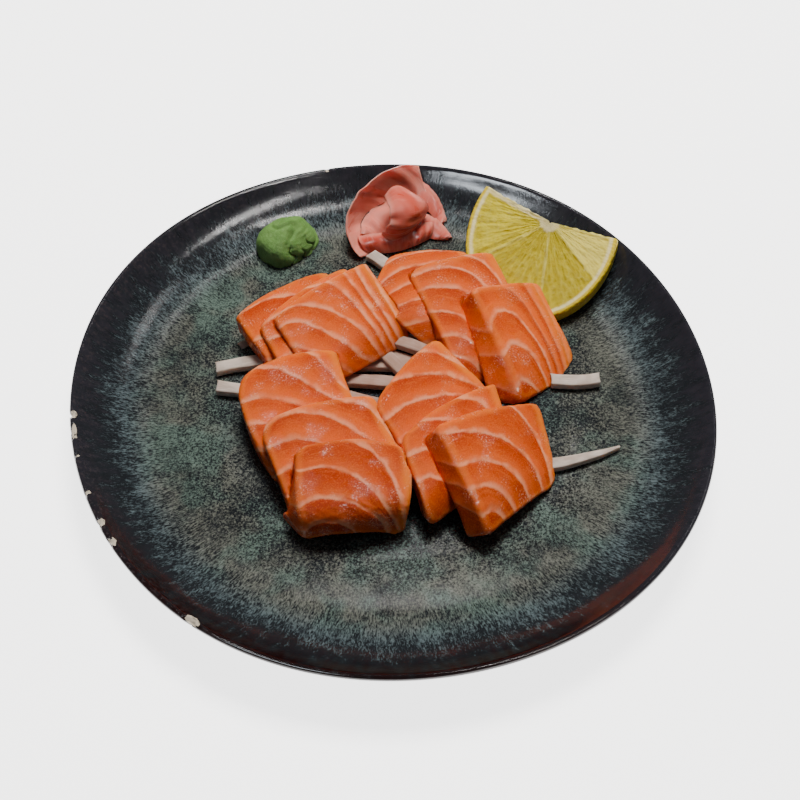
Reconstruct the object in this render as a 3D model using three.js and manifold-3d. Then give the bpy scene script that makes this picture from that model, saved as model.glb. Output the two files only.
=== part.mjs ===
// Sashimi plate: a hand-made stoneware coupe plate with twelve slices of raw salmon laid in four
// fans on a bed of daikon strips, a rosette of pickled ginger, a lump of wasabi and half a lemon slice.
// Millimetres, +Z up, +Y to the back. The origin is on the table, under the middle of the plate.
import * as THREE from "three";
import { mergeVertices } from "three/addons/utils/BufferGeometryUtils.js";
import Module from "manifold-3d";

const wasm = await Module();
wasm.setup();

const degrees = Math.PI / 180;
const gap = 0.3; // left between pieces that touch

// ---------------------------------------------------------------- plate
const plateRadius = 110;
const floorHeight = 6; // top of the flat floor
const rimHeight = 18.6;
const footRadius = 62;
const footWidth = 5;
const footDepth = 2; // the recess inside the foot ring
const plateSides = 64;

// The hand-thrown outline is a little out of round: sine and cosine shares of the radius.
const outOfRound = [
  { waves: 2, sine: -0.0116, cosine: 0 },
  { waves: 3, sine: 0.0018, cosine: 0.0005 },
  { waves: 4, sine: -0.0048, cosine: -0.004 },
];

// Chips of the rim: the angle round the plate, and the length and depth of the break.
const chips = [
  { angle: 103.5, length: 2, depth: 0.8 },
  { angle: 186.5, length: 3, depth: 1.4 },
  { angle: 190.2, length: 8, depth: 0.9 },
  { angle: 196, length: 1.4, depth: 0.7 },
  { angle: 204.3, length: 2, depth: 0.9 },
  { angle: 211, length: 3.6, depth: 1.3 },
  { angle: 215.5, length: 3.6, depth: 1.2 },
  { angle: 236.4, length: 5.4, depth: 1.5 },
];

// Height of the plate's upper face at a distance from its middle.
const upperProfile = [
  [0, floorHeight],
  [74, floorHeight],
  [84, floorHeight + 0.5],
  [92, floorHeight + 2],
  [99, floorHeight + 4.9],
  [104, floorHeight + 8.3],
  [107.2, floorHeight + 11.4],
];

function outlineFactor(angle) {
  let factor = 1;
  for (const { waves, sine, cosine } of outOfRound)
    factor += sine * Math.sin(waves * angle) + cosine * Math.cos(waves * angle);
  return factor;
}

function plateSurface(x, y) {
  const r = Math.hypot(x, y) / outlineFactor(Math.atan2(y, x));
  const next = upperProfile.findIndex(([radius]) => radius >= r);
  if (next < 0) return rimHeight;
  if (next === 0) return floorHeight;
  const [r0, z0] = upperProfile[next - 1];
  const [r1, z1] = upperProfile[next];
  return z0 + ((z1 - z0) * (r - r0)) / (r1 - r0);
}

function makePlate() {
  const lip = [
    [plateRadius - 1.7, rimHeight - 0.3],
    [plateRadius - 0.9, rimHeight],
    [plateRadius - 0.1, rimHeight - 0.5],
    [plateRadius, rimHeight - 1.6],
    [plateRadius - 0.8, rimHeight - 3.4],
  ];
  const underside = [
    [101, floorHeight + 0.6],
    [92, floorHeight - 2.2],
    [80, floorHeight - 3.6],
    [footRadius + footWidth, footDepth + 0.2],
    [footRadius + footWidth - 1, 0],
    [footRadius, 0],
    [footRadius - 1.5, footDepth],
    [0, footDepth],
  ];
  const outside = [...upperProfile, ...lip, ...underside].reverse();
  const profile = outside.map(([r, z]) => new THREE.Vector2(r, z));
  const geometry = new THREE.LatheGeometry(profile, plateSides).rotateX(90 * degrees);
  const place = geometry.getAttribute("position");
  for (let i = 0; i < place.count; i++) {
    const factor = outlineFactor(Math.atan2(place.getY(i), place.getX(i)));
    place.setXY(i, place.getX(i) * factor, place.getY(i) * factor);
  }
  let plate = solid(geometry);
  for (const { angle, length, depth } of chips) {
    const turn = angle * degrees;
    const reach = plateRadius * outlineFactor(turn) + 1.2 - depth * 0.3;
    const cutter = new THREE.IcosahedronGeometry(1, 1)
      .scale(depth + 1.2, length / 2 + 0.6, depth + 1.2)
      .rotateZ(turn)
      .translate(reach * Math.cos(turn), reach * Math.sin(turn), rimHeight - 0.2);
    plate = plate.subtract(solid(cutter));
  }
  return plate;
}

// ---------------------------------------------------------------- salmon
// Each slice is a slab bent over the heap. Its upper face is a bent sheet with places (across, along) in
// millimetres, and (x, y, z) is its zero. turn: the heading of across, from +X. heading: where along runs,
// from -Y, and curl turns its front end. lean: right side down. tilt: slope at zero. bend: how much more it
// slopes at the front, over the length long, from the share bendFrom of it. corners: back left, back right,
// front right and front left, with the rounding of each in rounds. bow: how far the middles of the back
// edge and of the front edge stand back. flare: how far the lower face spreads to the left at the back and
// at the front.
const slices = [
  { name: "salmon_back_left_1", x: -38.3, y: 38.8, z: 19.2, turn: 34, heading: 28, tilt: 5, bend: 68,
    long: 30, bendFrom: 0.35, bow: [1.5, 0], corners: [[-19.5, -6], [20, -6], [20, 30], [-16, 30]] },
  { name: "salmon_back_left_2", x: -31, y: 37.5, z: 21.5, turn: 38, heading: 32, tilt: 5, bend: 68, long: 30,
    bendFrom: 0.4, rounds: [2, 2, 4, 4], corners: [[-20, 0], [20.5, -5.5], [20, 30], [-23, 30]] },
  { name: "salmon_back_right_1", x: 12.5, y: 54.8, z: 22.4, turn: 0, heading: -28, tilt: 6, bend: 45,
    long: 40, bendFrom: 0.46, rounds: [9, 3, 3, 3], corners: [[-15.5, -6], [13, -7], [25, 46], [-13, 18]] },
  { name: "salmon_back_left_3", x: -24.5, y: 38, z: 25, turn: 40, heading: 33, tilt: 12, bend: 50, long: 35,
    bendFrom: 0.45, bow: [0.7, 0.5], rounds: [2, 1.5, 4, 4],
    corners: [[-21, -2], [21, -1.5], [21, 36], [-22.5, 33]] },
  { name: "salmon_back_right_2", x: 25, y: 53.5, z: 22.4, turn: 21, heading: 22, tilt: 10, bend: 36,
    long: 46, bendFrom: 0.4, lean: 5, bow: [0.5, 0], rounds: [7, 2, 4, 2],
    corners: [[-20, -3.5], [13.5, -2.5], [14, 64], [-18, 41]] },
  { name: "salmon_back_right_3", x: 42, y: 43, z: 21, turn: 23, heading: 24, tilt: 15, bend: 30, long: 44,
    lean: 20, flare: [2, 9], thick: 9, bow: [0.5, 0], rounds: [3, 3, 8, 3],
    corners: [[-15.5, -1.5], [14.8, -0.8], [14, 40], [-15.5, 42]] },
  { name: "salmon_front_left_1", x: -35.8, y: 4.8, z: 21.5, turn: 18, heading: 4, curl: 28, tilt: 12,
    bend: 35, long: 39, rounds: [12, 3, 6, 4], corners: [[-18.7, -6.5], [17.5, -5], [26, 38], [-13, 44]] },
  { name: "salmon_front_left_2", x: -25, y: -13, z: 24, turn: 20, heading: 20, tilt: 12, bend: 45,
    long: 38, rounds: [9, 3, 5, 4], corners: [[-20.7, -2], [20, 1], [23, 37], [-19, 38]] },
  { name: "salmon_front_left_3", x: -14.5, y: -30.5, z: 25, turn: 7, heading: 3, tilt: 8, bend: 82,
    long: 34, bendFrom: 0.38, flare: [1, 9], bow: [1, 4], rounds: [6, 5, 3, 1],
    corners: [[-17, -4], [21.7, 0], [18.5, 38], [-15.2, 34]] },
  { name: "salmon_front_right_1", x: 7.6, y: 2.3, z: 22.6, turn: 54, heading: 32, tilt: 8, bend: 40,
    long: 31.5, rounds: [6, 4, 6, 4], corners: [[-19.7, -5], [16.3, -4.5], [24, 31], [-21, 31]] },
  { name: "salmon_front_right_2", x: 17.5, y: -13, z: 24, turn: 42, heading: 16, tilt: 10, bend: 50,
    long: 34, lean: 5, bow: [1.5, 0], rounds: [3, 1, 5, 4],
    corners: [[-19.5, -0.5], [23.7, 2.8], [23, 34], [-18, 34]] },
  { name: "salmon_front_right_3", x: 35, y: -14, z: 22.5, turn: 27, heading: 16, tilt: 12, bend: 35,
    long: 38.5, lean: 24, flare: [3, 4], thick: 9, bow: [0.5, 1], rounds: [2, 5, 4, 2],
    corners: [[-24.5, -0.5], [21.7, -2], [17, 34], [-17, 37]] },
];
const usual = { curl: 0, lean: 0, flare: [1, 1], thick: 8, bendFrom: 0.42, bow: [1, 0], rounds: [3, 3, 4, 4] };

const crown = 0.5; // degrees per millimetre that a slice droops to each side
const tuckDroop = 5; // degrees per millimetre that it droops behind its zero
const edgeRound = 0.9;
const spineSteps = 16;

const smooth = (t) => t * t * (3 - 2 * t);
const share = (t) => Math.min(1, Math.max(0, t));

const blend = (a, b, t) => a + (b - a) * t;

// How much a slice narrows near its ends, to round its four corners.
function cornerInset(rounds, across, along, full) {
  const [backLeft, backRight, frontRight, frontLeft] = rounds;
  const radius = along < 0 ? (across < 0 ? backLeft : backRight) : across < 0 ? frontLeft : frontRight;
  const past = share(1 - ((1 - Math.abs(along)) * full) / radius);
  return radius * (1 - Math.sqrt(1 - past ** 2));
}

// Where shares of -1 to 1 fall on a slice's sheet, in millimetres across and along, and how deep.
function sheetPlace({ corners, rounds, bow, flare, thick }, across, along, up, grow) {
  const [backLeft, backRight, frontRight, frontLeft] = corners;
  const rounding = (edgeRound * Math.max(0, Math.abs(up) - 0.4)) / 0.6;
  const depth = ((1 - up) / 2) * thick;
  const spread = across < 0 ? blend(...flare, (along + 1) / 2) : 1;
  const half = blend(backRight[0] - backLeft[0], frontRight[0] - frontLeft[0], (along + 1) / 2) / 2;
  const full = (frontLeft[1] + frontRight[1] - backLeft[1] - backRight[1]) / 4;
  const reach = (spread * depth) / thick - rounding + grow - cornerInset(rounds, across, along, full);
  const s = (1 + across * (1 + reach / half)) / 2;
  const t = (1 + along * (1 + (grow - rounding) / full)) / 2;
  const place = (k) => blend(blend(backLeft[k], backRight[k], s), blend(frontLeft[k], frontRight[k], s), t);
  return [place(0), place(1) - (1 - across ** 2) * blend(...bow, t), depth];
}

// A point of a slice: across and along run over its upper face from -1 to 1, up from -1 to 1.
function slicePoint(slice, across, along, up, grow) {
  const { turn, heading, curl, lean, tilt, bend, bendFrom, long } = slice;
  const [u, v, depth] = sheetPlace(slice, across, along, up, grow);
  const point = new THREE.Vector3(slice.x, slice.y, slice.z);
  const droop = (d) => bend * smooth(share((d / long - bendFrom) / (1 - bendFrom)));
  const slopeAt = (d) => (tilt + (d > 0 ? droop(d) : tuckDroop * d)) * degrees;
  const headingAt = (d) => (heading + (curl * d) / long) * degrees;
  const alongAt = (d) => new THREE.Vector3(Math.sin(headingAt(d)), -Math.cos(headingAt(d)), 0);
  for (let i = 0; i < spineSteps; i++) {
    const d = ((i + 0.5) / spineSteps) * v;
    point.addScaledVector(alongAt(d), (Math.cos(slopeAt(d)) * v) / spineSteps);
    point.z -= (Math.sin(slopeAt(d)) * v) / spineSteps;
  }
  const normal = alongAt(v).multiplyScalar(Math.sin(slopeAt(v)));
  normal.z += Math.cos(slopeAt(v));
  const acrossAxis = new THREE.Vector3(Math.cos(turn * degrees), Math.sin(turn * degrees), 0);
  const sag = (lean + crown * u) * degrees;
  const meanSag = (lean + (crown * u) / 2) * degrees;
  point.addScaledVector(acrossAxis, u * Math.cos(meanSag));
  point.addScaledVector(normal, -u * Math.sin(meanSag));
  const face = normal.multiplyScalar(Math.cos(sag)).addScaledVector(acrossAxis, Math.sin(sag));
  return point.addScaledVector(face, grow * up - depth);
}

const makeSlice = (slice, grow = 0) =>
  bentBox([6, 9, 2], (x, y, z) => slicePoint({ ...usual, ...slice }, x, -y, z, grow));

// ---------------------------------------------------------------- daikon
// Each strip runs flat from one end to the other, with its lower face at height z and a little bow.
const stripWide = 5;
const stripThick = 3.2;
const looseStrips = [
  { name: "daikon_strip_left_1", from: [-62, 15], to: [-37, 19], bow: 1 },
  { name: "daikon_strip_left_2", from: [-61, 7], to: [-38, 5.5], bow: -1 },
  { name: "daikon_strip_back", from: [-8, 70], to: [9, 51], bow: 1 },
  { name: "daikon_strip_right_1", from: [73, 10.5], to: [56, 10], bow: 1 },
  { name: "daikon_strip_right_2", from: [77.5, -18.5], to: [44, -27.5], bow: 1.5, pointed: 0.85 },
];
const heapStrips = [
  { from: [-4, 27], to: [22, 15], z: 9.6, bow: 1 },
  { from: [-2, 34], to: [24, 24], z: 7, bow: 1 },
  { from: [-10, 28], to: [12, 1], z: 8, bow: 1 },
  { from: [-26, 10], to: [20, 6], z: 6.4, bow: 1 },
  { from: [-24, 6], to: [16, -6], z: 6.2, bow: -1 },
  { from: [-8, 24], to: [18, 11], z: 6.4, bow: 1 },
  { from: [-22, 15], to: [2, 17], z: 6.2, bow: 1 },
];
// Low mounds of packed strips that carry the four fans.
const mounds = [
  { x: -31, y: 30, wide: 15, deep: 13, high: 13 },
  { x: 20, y: 42, wide: 15, deep: 14, high: 13 },
  { x: -26, y: -8, wide: 14, deep: 18, high: 14 },
  { x: -13, y: -38, wide: 13, deep: 9, high: 11 },
  { x: 20, y: -10, wide: 15, deep: 14, high: 13 },
  { x: 42, y: 32, wide: 10, deep: 12, high: 9 },
  { x: 32, y: -30, wide: 10, deep: 11, high: 9 },
];

function makeStrip({ from, to, z = floorHeight + gap, bow = 0, pointed = 0 }, grow = 0) {
  const start = new THREE.Vector2(...from);
  const run = new THREE.Vector2(...to).sub(start);
  const length = run.length();
  run.normalize();
  return bentBox([1, 8, 1], (x, y, up) => {
    const t = (1 - y) / 2;
    const reach = t * length + (t - 0.5) * 2 * grow;
    const half = (stripWide / 2) * (1 - pointed * (1 - t) ** 2) + grow;
    const side = x * half + bow * 4 * t * (1 - t);
    const height = up > 0 ? stripThick + grow : -grow;
    return new THREE.Vector3(
      start.x + run.x * reach - run.y * side,
      start.y + run.y * reach + run.x * side,
      z + height,
    );
  });
}

function makeMound({ x, y, wide, deep, high }) {
  const dome = new THREE.SphereGeometry(1, 12, 8).rotateX(90 * degrees);
  return solid(dome.scale(wide, deep, high).translate(x, y, floorHeight + gap));
}

// ---------------------------------------------------------------- wasabi
const wasabiMiddle = { x: -40, y: 76 };
const wasabiSize = { wide: 12.6, deep: 9.4, high: 11.5, turn: 42 };

function makeWasabi() {
  const geometry = new THREE.IcosahedronGeometry(1, 4);
  const place = geometry.getAttribute("position");
  const { wide, deep, high, turn } = wasabiSize;
  for (let i = 0; i < place.count; i++) {
    const p = new THREE.Vector3().fromBufferAttribute(place, i);
    const lump = 1 + 0.05 * Math.sin(3 * p.x + 1) * Math.cos(4 * p.y) + 0.04 * Math.sin(5 * p.z + 2 * p.x);
    const crease = 1 - 0.16 * Math.exp(-((Math.atan2(p.y, p.x) + 1.45) ** 2) / 0.012) * share(1 - p.z);
    p.multiplyScalar(lump * crease).multiply(new THREE.Vector3(wide, deep, high));
    p.applyAxisAngle(new THREE.Vector3(0, 0, 1), turn * degrees);
    p.x += wasabiMiddle.x;
    p.y += wasabiMiddle.y;
    const rest = plateSurface(p.x, p.y) + gap;
    p.z = Math.max(rest, p.z + rest - 0.5);
    place.setXYZ(i, p.x, p.y, p.z);
  }
  return solid(geometry);
}

// ---------------------------------------------------------------- lemon
// Half an oval slice: the flesh runs round the core from one cut edge to the other.
const lemonCore = new THREE.Vector3(59, 75.5, 20.2);
const lemonNormal = new THREE.Vector3(-0.154, -0.21, 0.966).normalize();
const lemonThick = 6;
const lemonOval = { x: -3.3, y: -3.8, long: 37, short: 28.2, turn: 77 };
const lemonFirst = 142; // the two cut edges, as headings from the core
const lemonLast = 338;

function makeLemon() {
  const outline = [];
  const sides = 34;
  const { x, y, long, short, turn } = lemonOval;
  for (let i = 0; i <= sides; i++) {
    const heading = (lemonFirst + ((lemonLast - lemonFirst) * i) / sides) * degrees;
    outline.push(ovalPoint(heading, x, y, long, short, turn * degrees));
  }
  outline.push(new THREE.Vector2(0.5, -0.5));
  const bevel = 0.6;
  const geometry = new THREE.ExtrudeGeometry(new THREE.Shape(outline), {
    depth: lemonThick - 2 * bevel,
    bevelThickness: bevel,
    bevelSize: bevel,
    bevelOffset: -bevel,
    bevelSegments: 1,
  });
  const right = new THREE.Vector3(1, 0, 0).addScaledVector(lemonNormal, -lemonNormal.x).normalize();
  const back = lemonNormal.clone().cross(right);
  const frame = new THREE.Matrix4().makeBasis(right, back, lemonNormal);
  geometry.translate(0, 0, bevel - lemonThick).applyMatrix4(frame);
  geometry.translate(lemonCore.x, lemonCore.y, lemonCore.z);
  return solid(geometry);
}

// Where a ray from the core leaves the oval.
function ovalPoint(heading, x, y, long, short, turn) {
  const turned = (px, py) => [
    (px * Math.cos(turn) + py * Math.sin(turn)) / long,
    (py * Math.cos(turn) - px * Math.sin(turn)) / short,
  ];
  const [dx, dy] = turned(Math.cos(heading), Math.sin(heading));
  const [cx, cy] = turned(x, y);
  const a = dx * dx + dy * dy;
  const b = dx * cx + dy * cy;
  const reach = (b + Math.sqrt(b * b - a * (cx * cx + cy * cy - 1))) / a;
  return new THREE.Vector2(Math.cos(heading) * reach, Math.sin(heading) * reach);
}

// ---------------------------------------------------------------- ginger
// Thin slices wrap round a hollow. Each is a sheet between its foot and its rim, which are curves through
// four places [x, y, z]. bulge: how far its middle stands out.
const gingerThick = 1.1;
const petals = [
  { name: "ginger_outer", bulge: -1,
    rim: [[-12, 69, 8], [-17, 82, 17], [-7, 96, 23], [10, 104, 22]],
    foot: [[-7, 73, 7], [-12, 86, 10], [-2, 95, 12], [14, 94, 13]] },
  { name: "ginger_fold", bulge: -3,
    rim: [[-3, 89, 20], [-1, 80, 23], [-1, 76, 20], [-4, 76, 13]],
    foot: [[6, 93, 18], [12, 89, 18], [13, 86, 15], [5, 80, 10]] },
  { name: "ginger_inner", bulge: 0.8,
    rim: [[-12, 79, 10], [-11, 86, 11], [-7, 92, 11], [-1, 95, 12]],
    foot: [[-10, 79, 8], [-6, 80, 8], [-1, 83, 9], [2, 86, 10]] },
  { name: "ginger_front", bulge: 1.5,
    rim: [[-13, 78, 10], [-4, 78, 12], [5, 80, 12], [15, 86, 11]],
    foot: [[-10, 73, 7], [-3, 72, 7], [5, 74, 7], [15, 80, 7]] },
  { name: "ginger_back", bulge: 0.5,
    rim: [[11, 102, 16], [16, 98, 14], [19, 94, 11], [21, 88, 8]],
    foot: [[9, 94, 13], [12, 92, 11], [15, 90, 9], [17, 85, 7]] },
  { name: "ginger_right", bulge: 1,
    rim: [[13, 88, 12], [17, 86, 11], [20, 84, 9], [23, 80, 7]],
    foot: [[10, 83, 8], [14, 80, 7], [17, 79, 7], [21, 79, 7]] },
];

// The cubic curve through four points, at t from 0 to 1.
function curveThrough(points, t) {
  const place = new THREE.Vector3();
  points.forEach((point, k) => {
    let weight = 1;
    for (let other = 0; other < 4; other++) if (other !== k) weight *= (3 * t - other) / (k - other);
    place.addScaledVector(new THREE.Vector3(...point), weight);
  });
  return place;
}

function makePetal({ rim, foot, bulge }, grow = 0) {
  const sheet = (s, t) => curveThrough(foot, s).lerp(curveThrough(rim, s), t);
  const small = 0.01;
  return bentBox([10, 4, 1], (x, y, up) => {
    const s = (1 + x) / 2;
    const t = (1 + y) / 2;
    const along = sheet(s + small, t).sub(sheet(s - small, t)).normalize();
    const rise = sheet(s, t + small).sub(sheet(s, t - small)).normalize();
    const face = along.clone().cross(rise).normalize();
    const offset = bulge * 4 * t * (1 - t) + up * (gingerThick / 2 + grow);
    const point = sheet(s, t).addScaledVector(face, offset);
    return point.addScaledVector(along, x * grow).addScaledVector(rise, y * grow);
  });
}

// ---------------------------------------------------------------- solids
function solid(geometry) {
  geometry.deleteAttribute("normal");
  geometry.deleteAttribute("uv");
  const merged = mergeVertices(geometry, 1e-4);
  return new wasm.Manifold(
    new wasm.Mesh({
      numProp: 3,
      vertProperties: new Float32Array(merged.getAttribute("position").array),
      triVerts: new Uint32Array(merged.index.array),
    }),
  );
}

// A box whose corners run from -1 to 1, with each point moved by a function.
function bentBox([alongX, alongY, alongZ], move) {
  const geometry = new THREE.BoxGeometry(2, 2, 2, alongX, alongY, alongZ);
  const place = geometry.getAttribute("position");
  for (let i = 0; i < place.count; i++) {
    const point = move(place.getX(i), place.getY(i), place.getZ(i));
    place.setXYZ(i, point.x, point.y, point.z);
  }
  return solid(geometry);
}

function geometryOf(shape) {
  const { vertProperties, triVerts } = shape.getMesh();
  const geometry = new THREE.BufferGeometry();
  geometry.setAttribute("position", new THREE.BufferAttribute(vertProperties, 3));
  geometry.setIndex(new THREE.BufferAttribute(triVerts, 1));
  geometry.computeVertexNormals();
  return geometry;
}

// The largest body of a shape: a cut can leave scraps beside it.
function largest(shape) {
  const bodies = shape.decompose().sort((a, b) => b.volume() - a.volume());
  return bodies[0];
}

const finish = (color, roughness) => new THREE.MeshStandardMaterial({ color, roughness, metalness: 0 });
const salmonFlesh = finish(0xd8622c, 0.35);
const blackGlaze = finish(0x1c2424, 0.2);
const daikonFlesh = finish(0xd0c4b8, 0.4);
const wasabiPaste = finish(0x6e9c4c, 0.7);
const lemonFlesh = finish(0xc8b850, 0.4);
const gingerFlesh = finish(0xd8705e, 0.4);

const sashimiPlate = new THREE.Group();
function addPiece(name, shape, material) {
  const mesh = new THREE.Mesh(geometryOf(shape), material);
  mesh.name = name;
  sashimiPlate.add(mesh);
}

const plate = makePlate();
addPiece("plate", plate, blackGlaze);
const plateCutter = plate.translate([0, 0, gap]);

let room = plateCutter; // what the pieces laid later keep clear of
for (const strip of looseStrips) {
  const shape = makeStrip(strip);
  addPiece(strip.name, shape, daikonFlesh);
  room = room.add(makeStrip(strip, gap));
}

const laid = slices.map((slice, index) => {
  let shape = makeSlice(slice).subtract(room);
  for (const upper of slices.slice(index + 1)) shape = shape.subtract(makeSlice(upper, gap));
  return largest(shape);
});
laid.forEach((shape, index) => addPiece(slices[index].name, shape, salmonFlesh));
for (const slice of slices) room = room.add(makeSlice(slice, gap));

let heap = heapStrips.map((strip) => makeStrip(strip)).reduce((a, b) => a.add(b));
for (const mound of mounds) heap = heap.add(makeMound(mound));
addPiece("daikon_heap", largest(heap.subtract(room)), daikonFlesh);

addPiece("wasabi", makeWasabi(), wasabiPaste);
addPiece("lemon_slice", makeLemon().subtract(room), lemonFlesh);

for (const petal of petals) {
  addPiece(petal.name, largest(makePetal(petal).subtract(room)), gingerFlesh);
  room = room.add(makePetal(petal, gap));
}

export default sashimiPlate;
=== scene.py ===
import math

import bmesh
import bpy
import numpy as np
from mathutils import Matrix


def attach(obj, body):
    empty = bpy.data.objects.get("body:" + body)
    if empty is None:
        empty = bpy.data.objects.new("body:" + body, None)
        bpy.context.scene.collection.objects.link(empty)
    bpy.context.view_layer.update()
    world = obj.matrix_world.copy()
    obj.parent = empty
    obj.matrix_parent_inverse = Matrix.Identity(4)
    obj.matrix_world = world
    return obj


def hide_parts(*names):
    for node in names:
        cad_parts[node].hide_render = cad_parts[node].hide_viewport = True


MM = 0.001
GAP = 0.3  # left between pieces that touch


# ---------------------------------------------------------------- numbers
def smooth(t):
    t = np.clip(t, 0, 1)
    return t * t * (3 - 2 * t)


def blend(a, b, t):
    return a + (b - a) * t


def unit(vectors):
    return vectors / np.linalg.norm(vectors, axis=-1, keepdims=True)


class Ripples:
    """A smooth random field: a few plane waves with seeded directions. It returns about -1 to 1."""

    def __init__(self, seed, size, waves=7, dimensions=3):
        draw = np.random.default_rng(seed)
        directions = unit(draw.normal(size=(waves, dimensions)))
        lengths = size * draw.uniform(0.6, 1.8, waves)
        self.numbers = directions * (2 * math.pi / lengths)[:, None]
        self.starts = draw.uniform(0, 2 * math.pi, waves)

    def __call__(self, *coordinates):
        place = np.stack(np.broadcast_arrays(*coordinates), -1)
        waves = np.sin(place @ self.numbers.T + self.starts)
        return waves.sum(-1) / (0.6 * len(self.starts))


# ---------------------------------------------------------------- meshes
def make_piece(name, points, faces, nodes, material, attributes=None):
    """A piece of the object from points in millimetres. It stands for the CAD nodes."""
    mesh = bpy.data.meshes.new(name)
    mesh.from_pydata((points * MM).tolist(), [], faces.tolist())
    mesh.polygons.foreach_set("use_smooth", np.ones(len(mesh.polygons), bool))
    for title, values in (attributes or {}).items():
        kind = "FLOAT" if values.ndim == 1 else "FLOAT_VECTOR"
        layer = mesh.attributes.new(title, kind, "POINT")
        layer.data.foreach_set("value" if values.ndim == 1 else "vector", values.astype(float).ravel())
    mesh.materials.append(material)
    mesh.validate()
    piece = bpy.data.objects.new(name, mesh)
    bpy.context.scene.collection.objects.link(piece)
    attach(piece, "root")
    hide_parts(*nodes)


def box_surface(divisions):
    """The six faces of a box as one closed net: its points, from -1 to 1, and its four-sided faces."""
    counts = np.array(divisions) + 1
    place = np.moveaxis(np.indices(counts), 0, -1)
    shell = ((place == 0) | (place == counts - 1)).any(-1)
    index = np.full(counts, -1)
    index[shell] = np.arange(shell.sum())
    faces = []
    for axis in range(3):
        for side in (0, counts[axis] - 1):
            net = np.take(index, side, axis=axis)
            quads = [net[:-1, :-1], net[1:, :-1], net[1:, 1:], net[:-1, 1:]]
            if (side == 0) != (axis == 1):
                quads.reverse()
            faces.append(np.stack([quad.ravel() for quad in quads], -1))
    return place[shell] / np.array(divisions) * 2 - 1, np.concatenate(faces)


def lathe_surface(rings, sides):
    """Four-sided faces between neighbouring rings of points, all the way round."""
    ring, side = np.meshgrid(np.arange(rings - 1), np.arange(sides), indexing="ij")
    following = (side + 1) % sides
    here, beyond = ring * sides, (ring + 1) * sides
    corners = [here + side, beyond + side, beyond + following, here + following]
    return np.stack([corner.ravel() for corner in corners], -1)


# ---------------------------------------------------------------- shader nodes
class Shader:
    """Builds a material's node tree. A value given to a node may be a number, a colour or a socket."""

    def __init__(self, name):
        self.material = bpy.data.materials.new(name)
        self.material.use_nodes = True
        self.tree = self.material.node_tree
        self.tree.nodes.clear()
        self.output = self.tree.nodes.new("ShaderNodeOutputMaterial")

    def node(self, kind, inputs=None, **settings):
        made = self.tree.nodes.new(kind)
        for name, value in settings.items():
            setattr(made, name, value)
        for socket, value in (inputs or {}).items():
            self.put(made.inputs[socket], value)
        return made

    def put(self, socket, value):
        if isinstance(value, bpy.types.NodeSocket):
            self.tree.links.new(value, socket)
        else:
            socket.default_value = value

    def math(self, operation, a, b=0.0, c=0.0):
        made = self.node("ShaderNodeMath", {0: a, 1: b, 2: c}, operation=operation)
        return made.outputs[0]

    def times(self, *factors):
        product = factors[0]
        for factor in factors[1:]:
            product = self.math("MULTIPLY", product, factor)
        return product

    def times_add(self, value, factor, more):
        return self.math("MULTIPLY_ADD", value, factor, more)

    def vector(self, operation, a, b=(0, 0, 0)):
        made = self.node("ShaderNodeVectorMath", {0: a, 1: b}, operation=operation)
        return made.outputs["Value" if operation in ("LENGTH", "DOT_PRODUCT") else "Vector"]

    def split(self, vector):
        return self.node("ShaderNodeSeparateXYZ", {0: vector}).outputs

    def join(self, x, y, z=0.0):
        return self.node("ShaderNodeCombineXYZ", {0: x, 1: y, 2: z}).outputs[0]

    def attribute(self, name, output="Fac"):
        return self.node("ShaderNodeAttribute", attribute_name=name).outputs[output]

    def place(self):
        """Where the point is on the object, in millimetres."""
        spot = self.node("ShaderNodeTexCoord").outputs["Object"]
        return self.vector("MULTIPLY", spot, (1 / MM, 1 / MM, 1 / MM))

    def noise(self, vector, size, detail=2.0, roughness=0.5, distortion=0.0):
        values = {"Vector": vector, "Scale": 1 / size, "Detail": detail, "Roughness": roughness,
                  "Distortion": distortion}
        return self.node("ShaderNodeTexNoise", values).outputs[0]

    def cells(self, vector, size, smoothness):
        made = self.node("ShaderNodeTexVoronoi", {"Vector": vector, "Scale": 1 / size}, feature="SMOOTH_F1")
        self.put(made.inputs["Smoothness"], smoothness)
        return made.outputs["Distance"]

    def step(self, value, low, high, to_low=0.0, to_high=1.0):
        """Runs smoothly from to_low to to_high while value runs from low to high."""
        values = {"Value": value, "From Min": low, "From Max": high, "To Min": to_low, "To Max": to_high}
        made = self.node("ShaderNodeMapRange", values, interpolation_type="SMOOTHSTEP")
        return made.outputs["Result"]

    def mix(self, factor, a, b):
        """Runs from a to b, which are sockets or colour codes such as 0xD8622C."""
        made = self.node("ShaderNodeMix", data_type="RGBA")
        sockets = {socket.identifier: socket for socket in made.inputs}
        self.put(sockets["Factor_Float"], factor)
        self.put(sockets["A_Color"], srgb(a) if isinstance(a, int) else a)
        self.put(sockets["B_Color"], srgb(b) if isinstance(b, int) else b)
        return next(socket for socket in made.outputs if socket.identifier == "Result_Color")

    def bump(self, height, distance, strength=1.0, normal=None):
        values = {"Height": height, "Distance": distance * MM, "Strength": strength}
        if normal is not None:
            values["Normal"] = normal
        return self.node("ShaderNodeBump", values).outputs["Normal"]

    def surface(self, **inputs):
        """Ends the material in a shader. The names are its sockets', such as base_color for Base Color."""
        sockets = {}
        for name, value in inputs.items():
            sockets[name.replace("_", " ").title().replace("Ior", "IOR")] = value
        shader = self.node("ShaderNodeBsdfPrincipled", sockets, subsurface_method="RANDOM_WALK")
        self.tree.links.new(shader.outputs[0], self.output.inputs["Surface"])
        return self.material


def srgb(code):
    """A colour as a screen shows it, such as 0xD8622C, in the linear values that shaders take."""
    parts = [((code >> shift) & 255) / 255 for shift in (16, 8, 0)]
    linear = [p / 12.92 if p <= 0.04045 else ((p + 0.055) / 1.055) ** 2.4 for p in parts]
    return (*linear, 1.0)


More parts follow.
